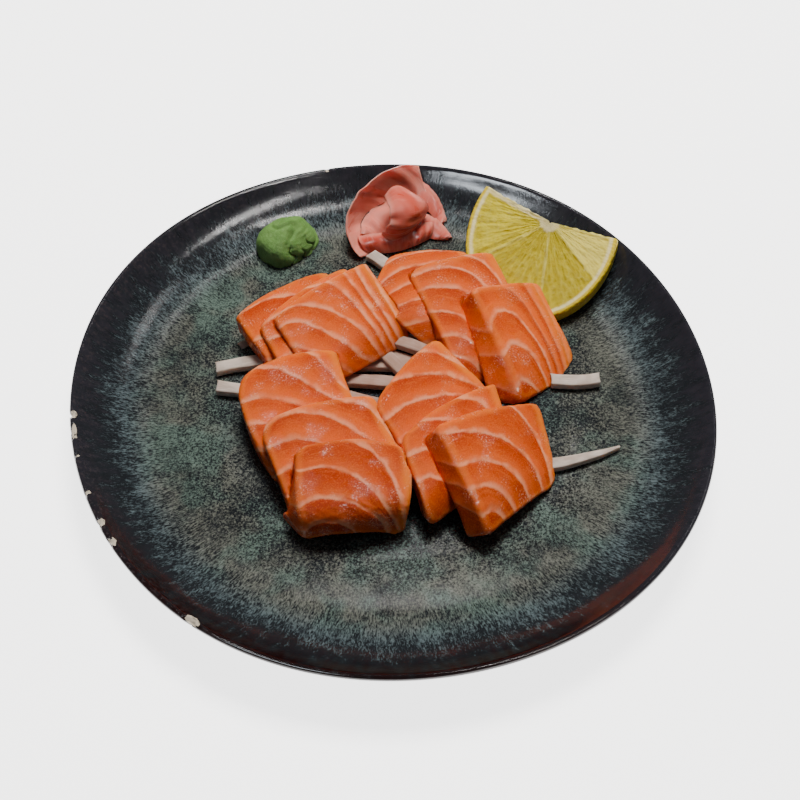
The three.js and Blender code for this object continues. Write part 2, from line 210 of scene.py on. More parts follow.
# ---------------------------------------------------------------- plate
PLATE_RADIUS = 110
FLOOR_HEIGHT = 6
RIM_HEIGHT = 18.6
FOOT_RADIUS = 62
FOOT_DEPTH = 2  # the recess inside the foot ring
UPPER_PROFILE = [(0, 6), (74, 6), (84, 6.5), (92, 8), (99, 10.9), (104, 14.3), (107.2, 17.4)]
LIP = [(108.3, 18.3), (109.1, 18.6), (109.9, 18.1), (110, 17), (109.2, 15.2)]
UNDERSIDE = [(101, 6.6), (92, 3.8), (80, 2.4), (67, 2.2), (66, 0), (62, 0), (60.5, 2), (0, 2)]
# Waves round the outline, with their sine and cosine shares of the radius.
OUT_OF_ROUND = [(2, -0.0116, 0), (3, 0.0018, 0.0005), (4, -0.0048, -0.004)]
# Chips of the rim: the angle round the plate, and the length and depth of the break.
CHIPS = [(103.5, 2, 0.8), (186.5, 3, 1.4), (190.2, 8, 0.9), (196, 1.4, 0.7), (204.3, 2, 0.9), (211, 3.6, 1.3),
         (215.5, 3.6, 1.2), (236.4, 5.4, 1.5)]
PLATE_SIDES = 900
MIDDLE = 0.01  # the radius of the innermost ring of points


def outline_factor(angle):
    return 1 + sum(s * np.sin(waves * angle) + c * np.cos(waves * angle) for waves, s, c in OUT_OF_ROUND)


def plate_surface(x, y):
    """Height of the plate's upper face."""
    r = np.hypot(x, y) / outline_factor(np.arctan2(y, x))
    radii, heights = zip(*UPPER_PROFILE)
    return np.interp(r, radii, heights, right=RIM_HEIGHT)


def rest_on_plate(points):
    """Lifts the points that would be in the plate."""
    points[:, 2] = np.maximum(points[:, 2], plate_surface(points[:, 0], points[:, 1]) + GAP)


def round_corners(profile, rounds=2):
    """Cuts every corner of an open line, keeping its ends."""
    points = np.array(profile, float)
    for _ in range(rounds):
        quarter = blend(points[:-1], points[1:], 0.25)
        most = blend(points[:-1], points[1:], 0.75)
        inner = np.stack([quarter, most], 1).reshape(-1, 2)
        points = np.concatenate([points[:1], inner[1:-1], points[-1:]])
    return points


def plate_profile():
    """The outline from the middle of the floor, over the lip, to the middle of the underside."""
    floor = [(radius, FLOOR_HEIGHT) for radius in (MIDDLE, 30, 58, 60, 62, 64, 66)]
    recess = [(30, FOOT_DEPTH), (MIDDLE, FOOT_DEPTH)]
    return round_corners([*floor, *UPPER_PROFILE[1:], *LIP, *UNDERSIDE[:-1], *recess])


def add_throwing_marks(r, a, z, top):
    """Slow waves round the wall and lip, and a low ring over the foot. They make the reflections wander."""
    wall = smooth((r - 80) / 14) * smooth((RIM_HEIGHT + 1 - z) / 6) * top
    wander = 0.5 * np.sin(3 * a + 1) + 0.35 * np.sin(7 * a + r / 9) + 0.25 * np.sin(13 * a - r / 5)
    r = r + 0.35 * wall * wander
    lip = smooth((z - 15) / 3)
    z = z + 0.16 * lip * np.sin(5 * a + 2) - 0.16 * lip
    over_foot = np.exp(-(((r - FOOT_RADIUS) / 2.5) ** 2))
    return r, z + 0.12 * top * over_foot * (1 + 0.5 * np.sin(2 * a + 1))


def chip_depth(r, a, z):
    """How deep the rim is broken, with ragged edges."""
    chip = np.zeros_like(r)
    ragged = Ripples(21, 2.2, dimensions=2)(a * PLATE_RADIUS, z * 2)
    for degrees, length, depth in CHIPS:
        apart = (a - math.radians(degrees) + math.pi) % (2 * math.pi) - math.pi
        across = apart * PLATE_RADIUS / (length / 2) + 0.35 * ragged
        below = (RIM_HEIGHT - z) / (2 * depth) + 0.2 * ragged
        broken = np.clip(1 - across**2 - below**2, 0, 1) * smooth((r - PLATE_RADIUS + 2.2) / 0.7)
        chip = np.maximum(chip, broken * depth)
    return chip


def make_plate(material):
    dish = plate_profile()
    angle = np.arange(PLATE_SIDES) * 2 * math.pi / PLATE_SIDES
    r, a = np.meshgrid(dish[:, 0], angle, indexing="ij")
    z = np.repeat(dish[:, 1:], PLATE_SIDES, 1)
    top = (np.arange(len(dish)) < np.argmax(dish[:, 0]))[:, None]
    r, z = add_throwing_marks(r, a, z, top)
    chip = chip_depth(r, a, z)
    r = r - chip * 0.9
    z = z - chip * 0.5
    factor = outline_factor(a)
    points = np.stack([r * factor * np.cos(a), r * factor * np.sin(a), z], -1).reshape(-1, 3)
    faces = lathe_surface(len(dish), PLATE_SIDES)[:, ::-1]
    attributes = {"rim_share": (r / PLATE_RADIUS).ravel(), "chip": chip.ravel()}
    make_piece("stoneware_plate", points, faces, ["plate"], material, attributes)


def glaze_maze(s, spot, share, polar):
    """Fine pale worms, drawn out along the radius towards the rim, where they fade in streaks."""
    worms = s.noise(spot, 0.7, detail=3, roughness=0.7, distortion=0.4)
    strokes = s.noise(polar, 0.65, detail=3, roughness=0.7, distortion=0.4)
    grain = s.node("ShaderNodeMix", {0: s.step(share, 0.6, 0.82), 2: worms, 3: strokes}).outputs[0]
    fade = s.times_add(s.noise(polar, 2.6, detail=3, roughness=0.7), 0.3, share)
    clouds = s.noise(spot, 13, detail=4, roughness=0.6)
    thick = s.times_add(clouds, 0.34, s.times_add(s.step(share, 0.34, 0.7), 0.07, -0.25))
    thick = s.math("ADD", thick, s.step(fade, 0.95, 1.16, 0, -0.22))
    speck = s.step(s.math("ADD", grain, thick), 0.38, 0.66)
    return grain, fade, s.times(speck, s.step(fade, 1.22, 1.05))


def glaze_body(s, spot, share, speck):
    """Grey and mint specks on black, bluer in the middle and towards the rim."""
    mint = s.mix(s.step(s.noise(spot, 16, detail=2), 0.42, 0.6), 0x6E7066, 0x64766C)
    tint = s.mix(s.step(share, 0.25, 0.6), 0x5A6870, mint)
    tint = s.mix(s.step(share, 0.74, 0.86), tint, 0x5A686C)
    ground = s.mix(s.noise(spot, 5, detail=3), 0x101214, 0x22262A)
    return s.mix(speck, ground, tint)


def glaze_rim(s, spot, share, heading):
    """Oxblood at the front and bluish black elsewhere, with brown freckles at the left."""
    front = s.step(s.vector("DOT_PRODUCT", heading, (-0.15, -0.99, 0)), 0.4, 0.85)
    left = s.step(s.vector("DOT_PRODUCT", heading, (-1, 0.1, 0)), 0.1, 0.9)
    blood = s.mix(s.noise(spot, 7, detail=2), 0x0E0606, 0x220C0C)
    black = s.mix(s.noise(spot, 3, detail=3), 0x1E1D24, 0x302E34)
    colour = s.mix(s.times(front, s.step(share, 0.86, 0.97)), black, blood)
    freckles = s.step(s.noise(spot, 1.3, detail=3), 0.5, 0.62)
    freckled = s.times(freckles, left, s.step(share, 0.86, 0.97, 0, 0.5))
    return s.mix(freckled, colour, 0x40383A)


def make_glaze():
    """Black reactive glaze: a fine pale maze and a plain rim, with bare clay in the chips and on the foot."""
    s = Shader("reactive_glaze")
    spot = s.place()
    share = s.attribute("rim_share")
    x, y, z = s.split(spot)
    flat = s.join(x, y)
    heading = s.vector("NORMALIZE", flat)
    spokes = s.split(s.vector("MULTIPLY", heading, (PLATE_RADIUS, PLATE_RADIUS, PLATE_RADIUS)))
    polar = s.join(spokes[0], spokes[1], s.times(s.vector("LENGTH", flat), 0.45))
    grain, fade, speck = glaze_maze(s, spot, share, polar)
    rim = glaze_rim(s, spot, share, heading)
    glaze = s.mix(s.step(fade, 1.03, 1.17), glaze_body(s, spot, share, speck), rim)
    torn = s.times_add(s.noise(spot, 0.9, detail=3), 0.8, -0.4)
    broken = s.step(s.math("ADD", torn, s.attribute("chip")), 0.4, 0.52)
    under = s.step(z, 1.2, 0.6)
    colour = s.mix(under, s.mix(broken, glaze, 0xC8BCA8), 0x8C8478)
    rough = s.step(s.math("MAXIMUM", broken, under), 0, 1, 0.07, 0.75)
    rough = s.times_add(speck, 0.12, rough)
    wall = s.times(s.step(share, 0.8, 0.88), s.step(share, 0.98, 0.96))
    rough = s.times_add(wall, 0.07, rough)
    relief = s.bump(s.noise(spot, 9, detail=2), 0.25, 0.5)
    relief = s.bump(grain, 0.06, 0.5, relief)
    return s.surface(base_color=colour, roughness=rough, normal=relief, ior=1.52)


# ---------------------------------------------------------------- salmon
# Each slice is a slab bent over the heap, as in the CAD source. Its upper face is a bent sheet with places
# (across, along) in millimetres, and at is its zero. turn: the heading of across, from +X. heading: where
# along runs, from -Y, and curl turns its front end. lean: right side down. tilt: slope at zero. bend: how
# much more it slopes at the front, over the length long, from the share bend_from of it. corners: back
# left, back right, front right and front left, with the rounding of each in rounds. bow: how far the middles
# of the back edge and of the front edge stand back. flare: how far the lower face spreads to the left at
# the back and at the front. seams: the visible fat seams from left to right, each through four places.
# plain_side: 1 where the left side shows little fat. skin: how wide the yellow band at the right end is.
# depth: how deep its red is, from 0 to 1. faint: how many seams at its right end are faint.
USUAL = {"curl": 0, "lean": 0, "flare": (1, 1), "thick": 8, "bend_from": 0.42, "bow": (1, 0), "plain_side": 0,
         "skin": 2.5, "rounds": (3, 3, 4, 4), "depth": 0.2, "faint": 0}
SLICES = [
    {"name": "salmon_back_left_1", "at": (-38.3, 38.8, 19.2), "turn": 34, "heading": 28, "tilt": 5,
     "bend": 68, "long": 30, "bend_from": 0.35, "bow": (1.5, 0),
     "corners": [(-19.5, -6), (20, -6), (20, 30), (-16, 30)],
     "seams": [[(-17, 19), (-14, 20), (-10, 21), (-6, 23)], [(-19, 9), (-15, 9.7), (-11, 11), (-6, 14)],
               [(-17, -4.5), (-8, -3.5), (1, -0.8), (8, 4.5)]]},
    {"name": "salmon_back_left_2", "at": (-31, 37.5, 21.5), "turn": 38, "heading": 32, "tilt": 5,
     "bend": 68, "long": 30, "bend_from": 0.4, "rounds": (2, 2, 4, 4), "depth": 0,
     "corners": [(-20, 0), (20.5, -5.5), (20, 30), (-23, 30)],
     "seams": [[(-21, 16), (-18, 17), (-15, 18), (-11, 20)], [(-21, 6.5), (-18, 7.5), (-15, 8.7), (-10, 11)],
               [(-20, 0.5), (-14, 0.7), (-8, 2), (0, 5)]]},
    {"name": "salmon_back_right_1", "at": (12.5, 54.8, 22.4), "turn": 0, "heading": -28, "tilt": 6,
     "bend": 45, "long": 40, "bend_from": 0.46, "rounds": (9, 3, 3, 3),
     "corners": [(-15.5, -6), (13, -7), (25, 46), (-13, 18)],
     "seams": [[(-8, 30), (0, 24), (6, 20), (14, 19)], [(-9, 22), (-3, 14.5), (2, 10.7), (8, 10)],
               [(-11, 13.5), (-8, 6.5), (-3, 3.5), (4, 2.4)]]},
    {"name": "salmon_back_left_3", "at": (-24.5, 38, 25), "turn": 40, "heading": 33, "tilt": 12,
     "bend": 50, "long": 35, "bend_from": 0.45, "bow": (0.7, 0.5), "rounds": (2, 1.5, 4, 4),
     "corners": [(-21, -2), (21, -1.5), (21, 36), (-22.5, 33)],
     "seams": [[(-22, 3), (-12, 8), (-5, 21), (2, 33)], [(-20, -1.5), (-6, 4), (2.5, 18), (6.5, 34)],
               [(-1, -6), (6, 5), (8, 19), (10, 34)], [(10.5, -3), (11, 8.5), (11.5, 20), (13, 34)],
               [(16, -2), (14.7, 10), (15, 22), (16.5, 34)], [(20, 1), (19, 13), (18.6, 24), (20, 35)]]},
    {"name": "salmon_back_right_2", "at": (25, 53.5, 22.4), "turn": 21, "heading": 22, "tilt": 10,
     "bend": 36, "long": 46, "bend_from": 0.4, "lean": 5, "bow": (0.5, 0), "rounds": (7, 2, 4, 2),
     "corners": [(-20, -3.5), (13.5, -2.5), (14, 64), (-18, 41)],
     "depth": 0.4,
     "seams": [[(-17, 27), (-13, 28), (-8, 33), (-2, 44)], [(-18, 16.5), (-13, 18.3), (-9, 22), (-6, 29)],
               [(-20, 6.5), (-12, 7.7), (-5.5, 10.5), (0, 17)], [(-16, 0), (-7, 0.5), (0.5, 4.5), (5, 14)],
               [(2, -3), (7, 1), (9.7, 6.5), (11, 14)]]},
    {"name": "salmon_back_right_3", "at": (42, 43, 21), "turn": 23, "heading": 24, "tilt": 15,
     "bend": 30, "long": 44, "lean": 20, "flare": (2, 9), "thick": 9, "plain_side": 1, "skin": 5, "faint": 3,
     "bow": (0.5, 0), "rounds": (3, 3, 8, 3), "corners": [(-15.5, -1.5), (14.8, -0.8), (14, 40), (-15.5, 42)],
     "seams": [[(-15, 37), (-12, 34.5), (-8.5, 37.5), (-6, 43)],
               [(-14.5, 25), (-8.5, 23), (-4, 29), (-2.5, 41)],
               [(-14, 13), (-6.5, 9.3), (-0.5, 20), (1, 40)], [(-14, 0), (0, 2.5), (4, 20), (4.5, 40)],
               [(5, -6), (8.3, 9), (8.3, 24), (7.7, 40)], [(11, -4), (12, 11), (11.5, 26), (10.3, 39)]]},
    {"name": "salmon_front_left_1", "at": (-35.8, 4.8, 21.5), "turn": 18, "heading": 4, "curl": 28,
     "tilt": 12, "bend": 35, "long": 39, "rounds": (12, 3, 6, 4),
     "corners": [(-18.7, -6.5), (17.5, -5), (26, 38), (-13, 44)],
     "seams": [[(-15.5, 27), (-11, 27.5), (-6, 29), (0, 32)], [(-17, 17), (-12, 17.3), (-6, 19), (3, 24)],
               [(-18, 7.5), (-9, 8.5), (-1.5, 12), (7, 18)], [(-12, -4), (0, 1.5), (10, 10.5), (21, 20)],
               [(7, -6), (13.5, 2), (18, 9.5), (24, 18)]]},
    {"name": "salmon_front_left_2", "at": (-25, -13, 24), "turn": 20, "heading": 20, "tilt": 12,
     "bend": 45, "long": 38, "rounds": (9, 3, 5, 4),
     "corners": [(-20.7, -2), (20, 1), (23, 37), (-19, 38)],
     "seams": [[(-19.5, 28), (-15, 28), (-11, 30), (-6, 34)], [(-20, 19), (-14, 18.7), (-9, 20), (-3, 25)],
               [(-19, 9), (-12, 9), (-6, 11), (1, 17)], [(-17, 1.5), (-4.5, 1), (5.5, 8), (14, 18)],
               [(12, 2), (17, 6), (20, 13), (22, 21)]]},
    {"name": "salmon_front_left_3", "at": (-14.5, -30.5, 25), "turn": 7, "heading": 3, "tilt": 8,
     "bend": 82, "long": 34, "bend_from": 0.38, "flare": (1, 9), "plain_side": 1, "bow": (1, 4), "depth": 0.9,
     "rounds": (6, 5, 3, 1), "corners": [(-17, -4), (21.7, 0), (18.5, 38), (-15.2, 34)],
     "seams": [[(-14.5, 29.5), (-9, 25.5), (-3, 26.3), (2, 31)],
               [(-15.5, 19), (-4, 18), (8, 24.5), (12.5, 36)],
               [(-17, 6.5), (-4, 7.5), (7, 15), (15.5, 32)], [(-13, -3), (1, -2.5), (12, 7), (18, 25)],
               [(12, -3), (19.5, 3), (21, 12), (20.5, 25)]]},
    {"name": "salmon_front_right_1", "at": (7.6, 2.3, 22.6), "turn": 54, "heading": 32, "tilt": 8,
     "bend": 40, "long": 31.5, "rounds": (6, 4, 6, 4),
     "corners": [(-19.7, -5), (16.3, -4.5), (24, 31), (-21, 31)],
     "depth": 0.4,
     "seams": [[(-20, 13), (-14, 14.5), (-8, 18), (-3, 24)], [(-19.5, 3.3), (-10, 6), (-2, 10), (7, 16)],
               [(-9, -4.5), (1, 2), (9.5, 9), (18, 20)], [(5, -6), (11, -0.5), (15, 5), (19, 12)]]},
    {"name": "salmon_front_right_2", "at": (17.5, -13, 24), "turn": 42, "heading": 16, "tilt": 10,
     "bend": 50, "long": 34, "lean": 5, "plain_side": 1, "bow": (1.5, 0), "rounds": (3, 1, 5, 4),
     "corners": [(-19.5, -0.5), (23.7, 2.8), (23, 34), (-18, 34)],
     "depth": 0.45,
     "seams": [[(-18.5, 17), (-14, 18), (-10, 21), (-7, 27)], [(-18.5, 7.5), (-12, 9.5), (-6, 13), (0, 20)],
               [(-14, -1.5), (-6.5, 1.2), (-0.5, 5.5), (6, 14)], [(4, -1), (11, 3), (15, 7), (19, 15)]]},
    {"name": "salmon_front_right_3", "at": (35, -14, 22.5), "turn": 27, "heading": 16, "tilt": 12,
     "bend": 35, "long": 38.5, "lean": 24, "flare": (3, 4), "thick": 9, "plain_side": 1, "depth": 0.55,
     "bow": (0.5, 1), "rounds": (2, 5, 4, 2), "corners": [(-24.5, -0.5), (21.7, -2), (17, 34), (-17, 37)],
     "seams": [[(-18, 31), (-15, 30), (-12, 31), (-9, 35)], [(-20, 23.5), (-14, 23.2), (-9, 26), (-5, 33)],
               [(-22.5, 15.5), (-11.5, 16), (-2.5, 21.5), (3, 33)], [(-19, 3.5), (-5, 8), (5, 17), (9.5, 32)],
               [(5, -5), (12, 6), (14.5, 17), (14, 31)]]},
]
SLICE_NET = (60, 72, 10)  # divisions across a slice, along it and through it
SEAM_SLACK = 12  # how loosely the field follows the seams' points
WIDEST_GAP = 14
CROWN = 0.5  # degrees per millimetre that a slice droops to each side
TUCK_DROOP = 5  # degrees per millimetre that it droops behind its zero
EDGE_ROUND = 1.2
SPINE_STEPS = 16
HALVINGS = 12  # tries of how far a slice reaches before it meets the plate


def corner_inset(part, across, along, full):
    """How much a slice narrows near its ends, to round its four corners."""
    back_left, back_right, front_right, front_left = part["rounds"]
    at_back = np.where(across < 0, back_left, back_right)
    at_front = np.where(across < 0, front_left, front_right)
    radius = np.where(along < 0, at_back, at_front)
    past = np.clip(1 - (1 - np.abs(along)) * full / radius, 0, 1)
    return radius * (1 - np.sqrt(1 - past**2))


def half_width(part, along):
    back_left, back_right, front_right, front_left = part["corners"]
    return blend(back_right[0] - back_left[0], front_right[0] - front_left[0], (along + 1) / 2) / 2


def sheet_place(part, across, along, up):
    """Where shares of -1 to 1 fall on a slice's sheet, in millimetres across and along, and how deep."""
    back_left, back_right, front_right, front_left = np.array(part["corners"], float)
    thick = part["thick"]
    flat = 1 - 2 * EDGE_ROUND / thick
    past = np.clip((np.abs(up) - flat) / (1 - flat), 0, 1)
    rounding = EDGE_ROUND * (1 - np.sqrt(1 - past**2))
    wobble = Ripples(part["seed"], 26, dimensions=2)
    depth = (1 - up) / 2 * thick
    bevel = np.where(across < 0, blend(*part["flare"], (along + 1) / 2), 1) * depth / thick
    half = half_width(part, along)
    full = (front_left[1] + front_right[1] - back_left[1] - back_right[1]) / 4
    reach = bevel - rounding - corner_inset(part, across, along, full) + 0.35 * wobble(along * 20, across * 3)
    s = (1 + across * (1 + reach / half)) / 2
    t = (1 + along * (1 + (0.35 * wobble(across * 20, along * 3) - rounding) / full)) / 2
    s, t = s[:, None], t[:, None]
    u, v = blend(blend(back_left, back_right, s), blend(front_left, front_right, s), t).T
    return u, v - (1 - across**2) * blend(*part["bow"], t[:, 0]), depth


def bend_slice(part, across, along, up):
    """Points of a slice from shares of -1 to 1 over its upper face and through its thickness."""
    u, v, depth = sheet_place(part, across, along, up)
    point = np.zeros((len(across), 3)) + part["at"]
    steep_from = part["bend_from"]

    def slope_at(d):
        droop = part["bend"] * smooth((d / part["long"] - steep_from) / (1 - steep_from))
        return np.radians(part["tilt"] + np.where(d > 0, droop, TUCK_DROOP * d))

    def forward_at(d):
        heading = np.radians(part["heading"] + part["curl"] * d / part["long"])
        return np.stack([np.sin(heading), -np.cos(heading), np.zeros_like(heading)], -1)

    step = (v / SPINE_STEPS)[:, None]
    down = np.array([0, 0, -1.0])
    for i in range(SPINE_STEPS):
        d = (i + 0.5) / SPINE_STEPS * v
        slope = slope_at(d)[:, None]
        point += step * (forward_at(d) * np.cos(slope) + down * np.sin(slope))
    slope = slope_at(v)[:, None]
    normal = forward_at(v) * np.sin(slope) - down * np.cos(slope)
    turn = math.radians(part["turn"])
    across_axis = np.array([math.cos(turn), math.sin(turn), 0])
    sag = np.radians(part["lean"] + CROWN * u)[:, None]
    mean_sag = np.radians(part["lean"] + CROWN * u / 2)[:, None]
    side = u[:, None]
    point += side * np.cos(mean_sag) * across_axis - side * np.sin(mean_sag) * normal
    face = normal * np.cos(sag) + across_axis * np.sin(sag)
    return point - face * depth[:, None], face


def curve_through(points, t):
    """The cubic through four points, at t from 0 to 1 and beyond."""
    points = np.array(points, float)
    knots = np.array([0, 1 / 3, 2 / 3, 1])
    total = 0
    for k in range(4):
        others = np.delete(knots, k)
        weight = np.prod((t[..., None] - others) / (knots[k] - others), -1)
        total = total + weight[..., None] * points[k]
    return total


def seam_points(part):
    """Points along a slice's fat seams, each with the number of its seam."""
    steps = np.linspace(-0.1, 1.1, 13)
    lines = [curve_through(line, steps) for line in part["seams"]]
    numbers = np.repeat(np.arange(len(lines)), len(steps))
    return np.concatenate(lines), numbers


def bending(distance):
    return distance**2 * np.log(np.maximum(distance, 1e-6))


def seam_field(part, across, along):
    """A running count of the fat seams, whole on each seam, and how far apart the seams are there.

    It is a thin plate that bends as little as it can through the seams' points.
    """
    knots, numbers = seam_points(part)
    pull = bending(np.linalg.norm(knots[:, None] - knots, axis=-1)) + SEAM_SLACK * np.eye(len(knots))
    flat = np.column_stack([np.ones(len(knots)), knots])
    system = np.block([[pull, flat], [flat.T, np.zeros((3, 3))]])
    weights = np.linalg.solve(system, np.concatenate([numbers, np.zeros(3)]))

    def count_at(u, v):
        spots = np.stack([u, v], -1)
        near = bending(np.linalg.norm(spots[:, None] - knots, axis=-1))
        return np.column_stack([near, np.ones(len(spots)), spots]) @ weights

    small = 0.4
    count = count_at(across, along)
    rise = np.hypot(count_at(across + small, along) - count, count_at(across, along + small) - count) / small
    return count, 1 / np.maximum(rise, 1 / WIDEST_GAP)


class Underside:
    """The height of a slice's lower face over a fine grid, so that what lies beneath stays below it."""

    cell = 0.5
    reach = 90
    samples = 240
    level = -0.9  # near the lower face, at -1, but less drawn in by the rounded edges

    def __init__(self, part):
        shares = np.linspace(-1, 1, self.samples)
        across, along = [axis.ravel() for axis in np.meshgrid(shares, shares)]
        points, _ = bend_slice(part, across, along, np.full(across.shape, self.level))
        size = int(2 * self.reach / self.cell)
        self.heights = np.full((size, size), np.inf)
        column, row = self.index(points)
        np.minimum.at(self.heights, (column, row), points[:, 2])

    def index(self, points):
        place = ((points[:, :2] + self.reach) / self.cell).astype(int)
        return np.clip(place, 0, int(2 * self.reach / self.cell) - 1).T

    def __call__(self, points):
        return self.heights[tuple(self.index(points))]


def keep_under(points, undersides, more=0):
    """Lowers the points that would be in the slices above, and leaves a gap and as much more."""
    for underside in undersides:
        points[:, 2] = np.minimum(points[:, 2], underside(points) - GAP - more)


def pull_in(part, across, along, up):
    """Draws the points of a slice that would be in the plate towards its middle, until they lie on it."""
    points, face = bend_slice(part, across, along, up)
    sunk = points[:, 2] < plate_surface(points[:, 0], points[:, 1]) + GAP
    near, far = np.zeros(sunk.sum()), np.ones(sunk.sum())
    for _ in range(HALVINGS):
        share = (near + far) / 2
        tried, _ = bend_slice(part, across[sunk] * share, along[sunk] * share, up[sunk])
        under = tried[:, 2] < plate_surface(tried[:, 0], tried[:, 1]) + GAP
        near, far = np.where(under, near, share), np.where(under, share, far)
    across, along = across.copy(), along.copy()
    across[sunk] *= near
    along[sunk] *= near
    points, face = bend_slice(part, across, along, up)
    return points, face, across, along


def slice_relief(seed, points, seam_distance):
    """Small waves over a slice, and a groove along each seam."""
    waves = 0.12 * Ripples(seed, 11)(*points.T) + 0.07 * Ripples(seed + 50, 2.2)(*points.T)
    return waves - 0.16 * np.exp(-((seam_distance / 0.8) ** 2))


def make_slice(part, net, faces, uppers, material):
    """One slice, which stays under the slices above it and on the plate."""
    up = np.sin(net[:, 2] * math.pi / 2)
    points, face, across, along = pull_in(part, net[:, 0], -net[:, 1], up)
    u, v, depth = sheet_place(part, across, along, up)
    chevron = blend(0.3, 1, part["plain_side"]) * (across < 0)
    count, apart = seam_field(part, u + 0.2 * depth, v + chevron * depth)
    relief = slice_relief(part["seed"], points, np.abs(count - np.round(count)) * apart)
    points = points + face * (relief * np.clip(up, 0, 1))[:, None]
    keep_under(points, uppers, 0.06 * depth)
    rest_on_plate(points)
    attributes = {
        "seam": count,
        "seam_gap": np.maximum(apart, 1),
        "plain": ((across < -0.995) & (depth > 0.4) & (part["plain_side"] > 0)) * 1.0,
        "skin": part["skin"] - (1 - across) * half_width(part, along),
        "slab": np.stack([u, v, depth], -1) + part["seed"] * 33.0,
        "deep": np.full(len(points), float(part["depth"])),
        "faint": smooth(count - len(part["seams"]) + part["faint"] + 1) * (part["faint"] > 0),
        # edge: how near a point is to the rim of the top face, where the shader paints a glow of light.
        "edge": np.minimum(1 - np.abs(across), 1 - np.abs(along)) * 18 + np.clip(depth, 0, 2),
    }
    make_piece(part["name"] + "_flesh", points, faces, [part["name"]], material, attributes)


def make_slices(material):
    """Lays the slices, the lowest first, and returns their undersides."""
    parts = [{**USUAL, **part, "seed": seed} for seed, part in enumerate(SLICES)]
    net, faces = box_surface(SLICE_NET)
    undersides = [Underside(part) for part in parts]
    for number, part in enumerate(parts):
        make_slice(part, net, faces[:, ::-1], undersides[number + 1 :], material)
    return undersides


def seam_marks(s, slab, count):
    """The shares of fat and of the warm halo beside it.

    A seam ends sharply against the dark flesh before it and fades into the light flesh past it.
    """
    past = s.math("SUBTRACT", s.math("FRACT", s.math("ADD", count, 0.5)), 0.5)
    ragged = s.times_add(s.noise(slab, 0.9, detail=3, roughness=0.65), 0.9, -0.45)
    past = s.times_add(past, s.attribute("seam_gap"), ragged)
    broad = s.step(s.noise(slab, 8, detail=1), 0.35, 0.65, 0.8, 2.3)
    fading = s.step(s.math("DIVIDE", past, broad), 1.0, 0.0)
    marked = s.times_add(s.attribute("plain"), -0.6, 1)
    marked = s.times(marked, s.step(s.noise(slab, 5, detail=2), 0.32, 0.56, 0.35, 1))
    marked = s.times(marked, s.times_add(s.attribute("faint"), -0.65, 1))
    fat = s.times(s.step(past, -0.9, -0.1), fading, marked)
    return fat, s.times(s.step(past, -0.3, 0.6), s.step(past, 5, 0.5), 0.4)


def flesh_colour(s, slab, count, flakes):
    """Orange that shades from dark to light between the seams, with fine threads beside them, and a painted
    glow of light at the thin rim of the face.
    """
    slab_parts = s.split(slab)
    threads = s.join(s.times(count, 9), s.times(slab_parts[0], 0.12), s.times(slab_parts[1], 0.12))
    threads = s.noise(threads, 1, detail=3, roughness=0.6)
    mottle = s.noise(slab, 3, detail=3, roughness=0.6)
    large = s.step(s.noise(slab, 12, detail=1), 0.4, 0.62)
    deep = s.mix(mottle, 0x9E2806, 0xB83A0A)
    light = s.mix(mottle, 0xD84E0C, 0xE66616)
    flesh = s.mix(s.step(s.math("FRACT", count), 1.05, 0.2), deep, light)
    flesh = s.mix(s.times(large, 0.35), flesh, 0xE8641E)
    flesh = s.mix(s.times(s.attribute("deep"), 0.65), flesh, 0x962204)
    flesh = s.mix(s.step(threads, 0.5, 0.72, 0, 0.25), flesh, 0xF07E36)
    flesh = s.mix(s.step(flakes, 0.5, 0.68, 0, 0.42), flesh, 0xF07C30)
    flesh = s.mix(s.step(flakes, 0.48, 0.32, 0, 0.4), flesh, 0x982406)
    skin = s.step(s.attribute("skin"), -1.2, 1.4)
    flesh = s.mix(s.times(skin, 0.6), flesh, 0xEA7A1C)
    # Painted light: the rim of the top face is painted lighter, a glow of light through the thin edges.
    return s.mix(s.step(s.attribute("edge"), 1.8, 0.3, 0, 0.3), flesh, 0xF0842E)


def make_salmon():
    """Raw salmon: orange flesh between pale fat seams, with wet patches and painted glints in them."""
    s = Shader("raw_salmon")
    slab = s.attribute("slab", "Vector")
    waver = s.times_add(s.noise(slab, 6, detail=2), 0.2, -0.1)
    count = s.math("ADD", s.attribute("seam"), waver)
    flakes = s.noise(slab, 0.55, detail=3, roughness=0.7)
    fat, halo = seam_marks(s, slab, count)
    flesh = s.mix(halo, flesh_colour(s, slab, count, flakes), 0xE86C30)
    colour = s.mix(s.times(fat, 0.66), flesh, 0xF6AA80)
    # Wet patches, with painted glints in them: small pale flecks of painted highlight, over fine ripples.
    wet = s.step(s.noise(slab, 7, detail=2), 0.52, 0.64)
    glints = s.times(s.step(s.noise(slab, 0.6, detail=2), 0.52, 0.7), wet)
    # Painted highlight: the glints are pale flecks in the colour, not reflections of the lamps.
    colour = s.mix(s.times(glints, 0.45), colour, 0xFFC4A0)
    relief = s.bump(s.noise(slab, 1.6, detail=3), 0.25, 0.35)
    relief = s.bump(flakes, 0.12, 0.7, relief)
    rough = s.step(s.noise(slab, 2.6, detail=3), 0.3, 0.7, 0.24, 0.44)
    ripples = s.bump(s.noise(slab, 1.5, detail=1), 0.9, 1.0)
    return s.surface(base_color=colour, roughness=rough, normal=relief, specular_ior_level=0.12,
                     coat_weight=wet, coat_roughness=0.09, coat_ior=1.5, coat_normal=ripples,
                     subsurface_weight=0.4, subsurface_radius=(1.0, 0.32, 0.12), subsurface_scale=3 * MM)


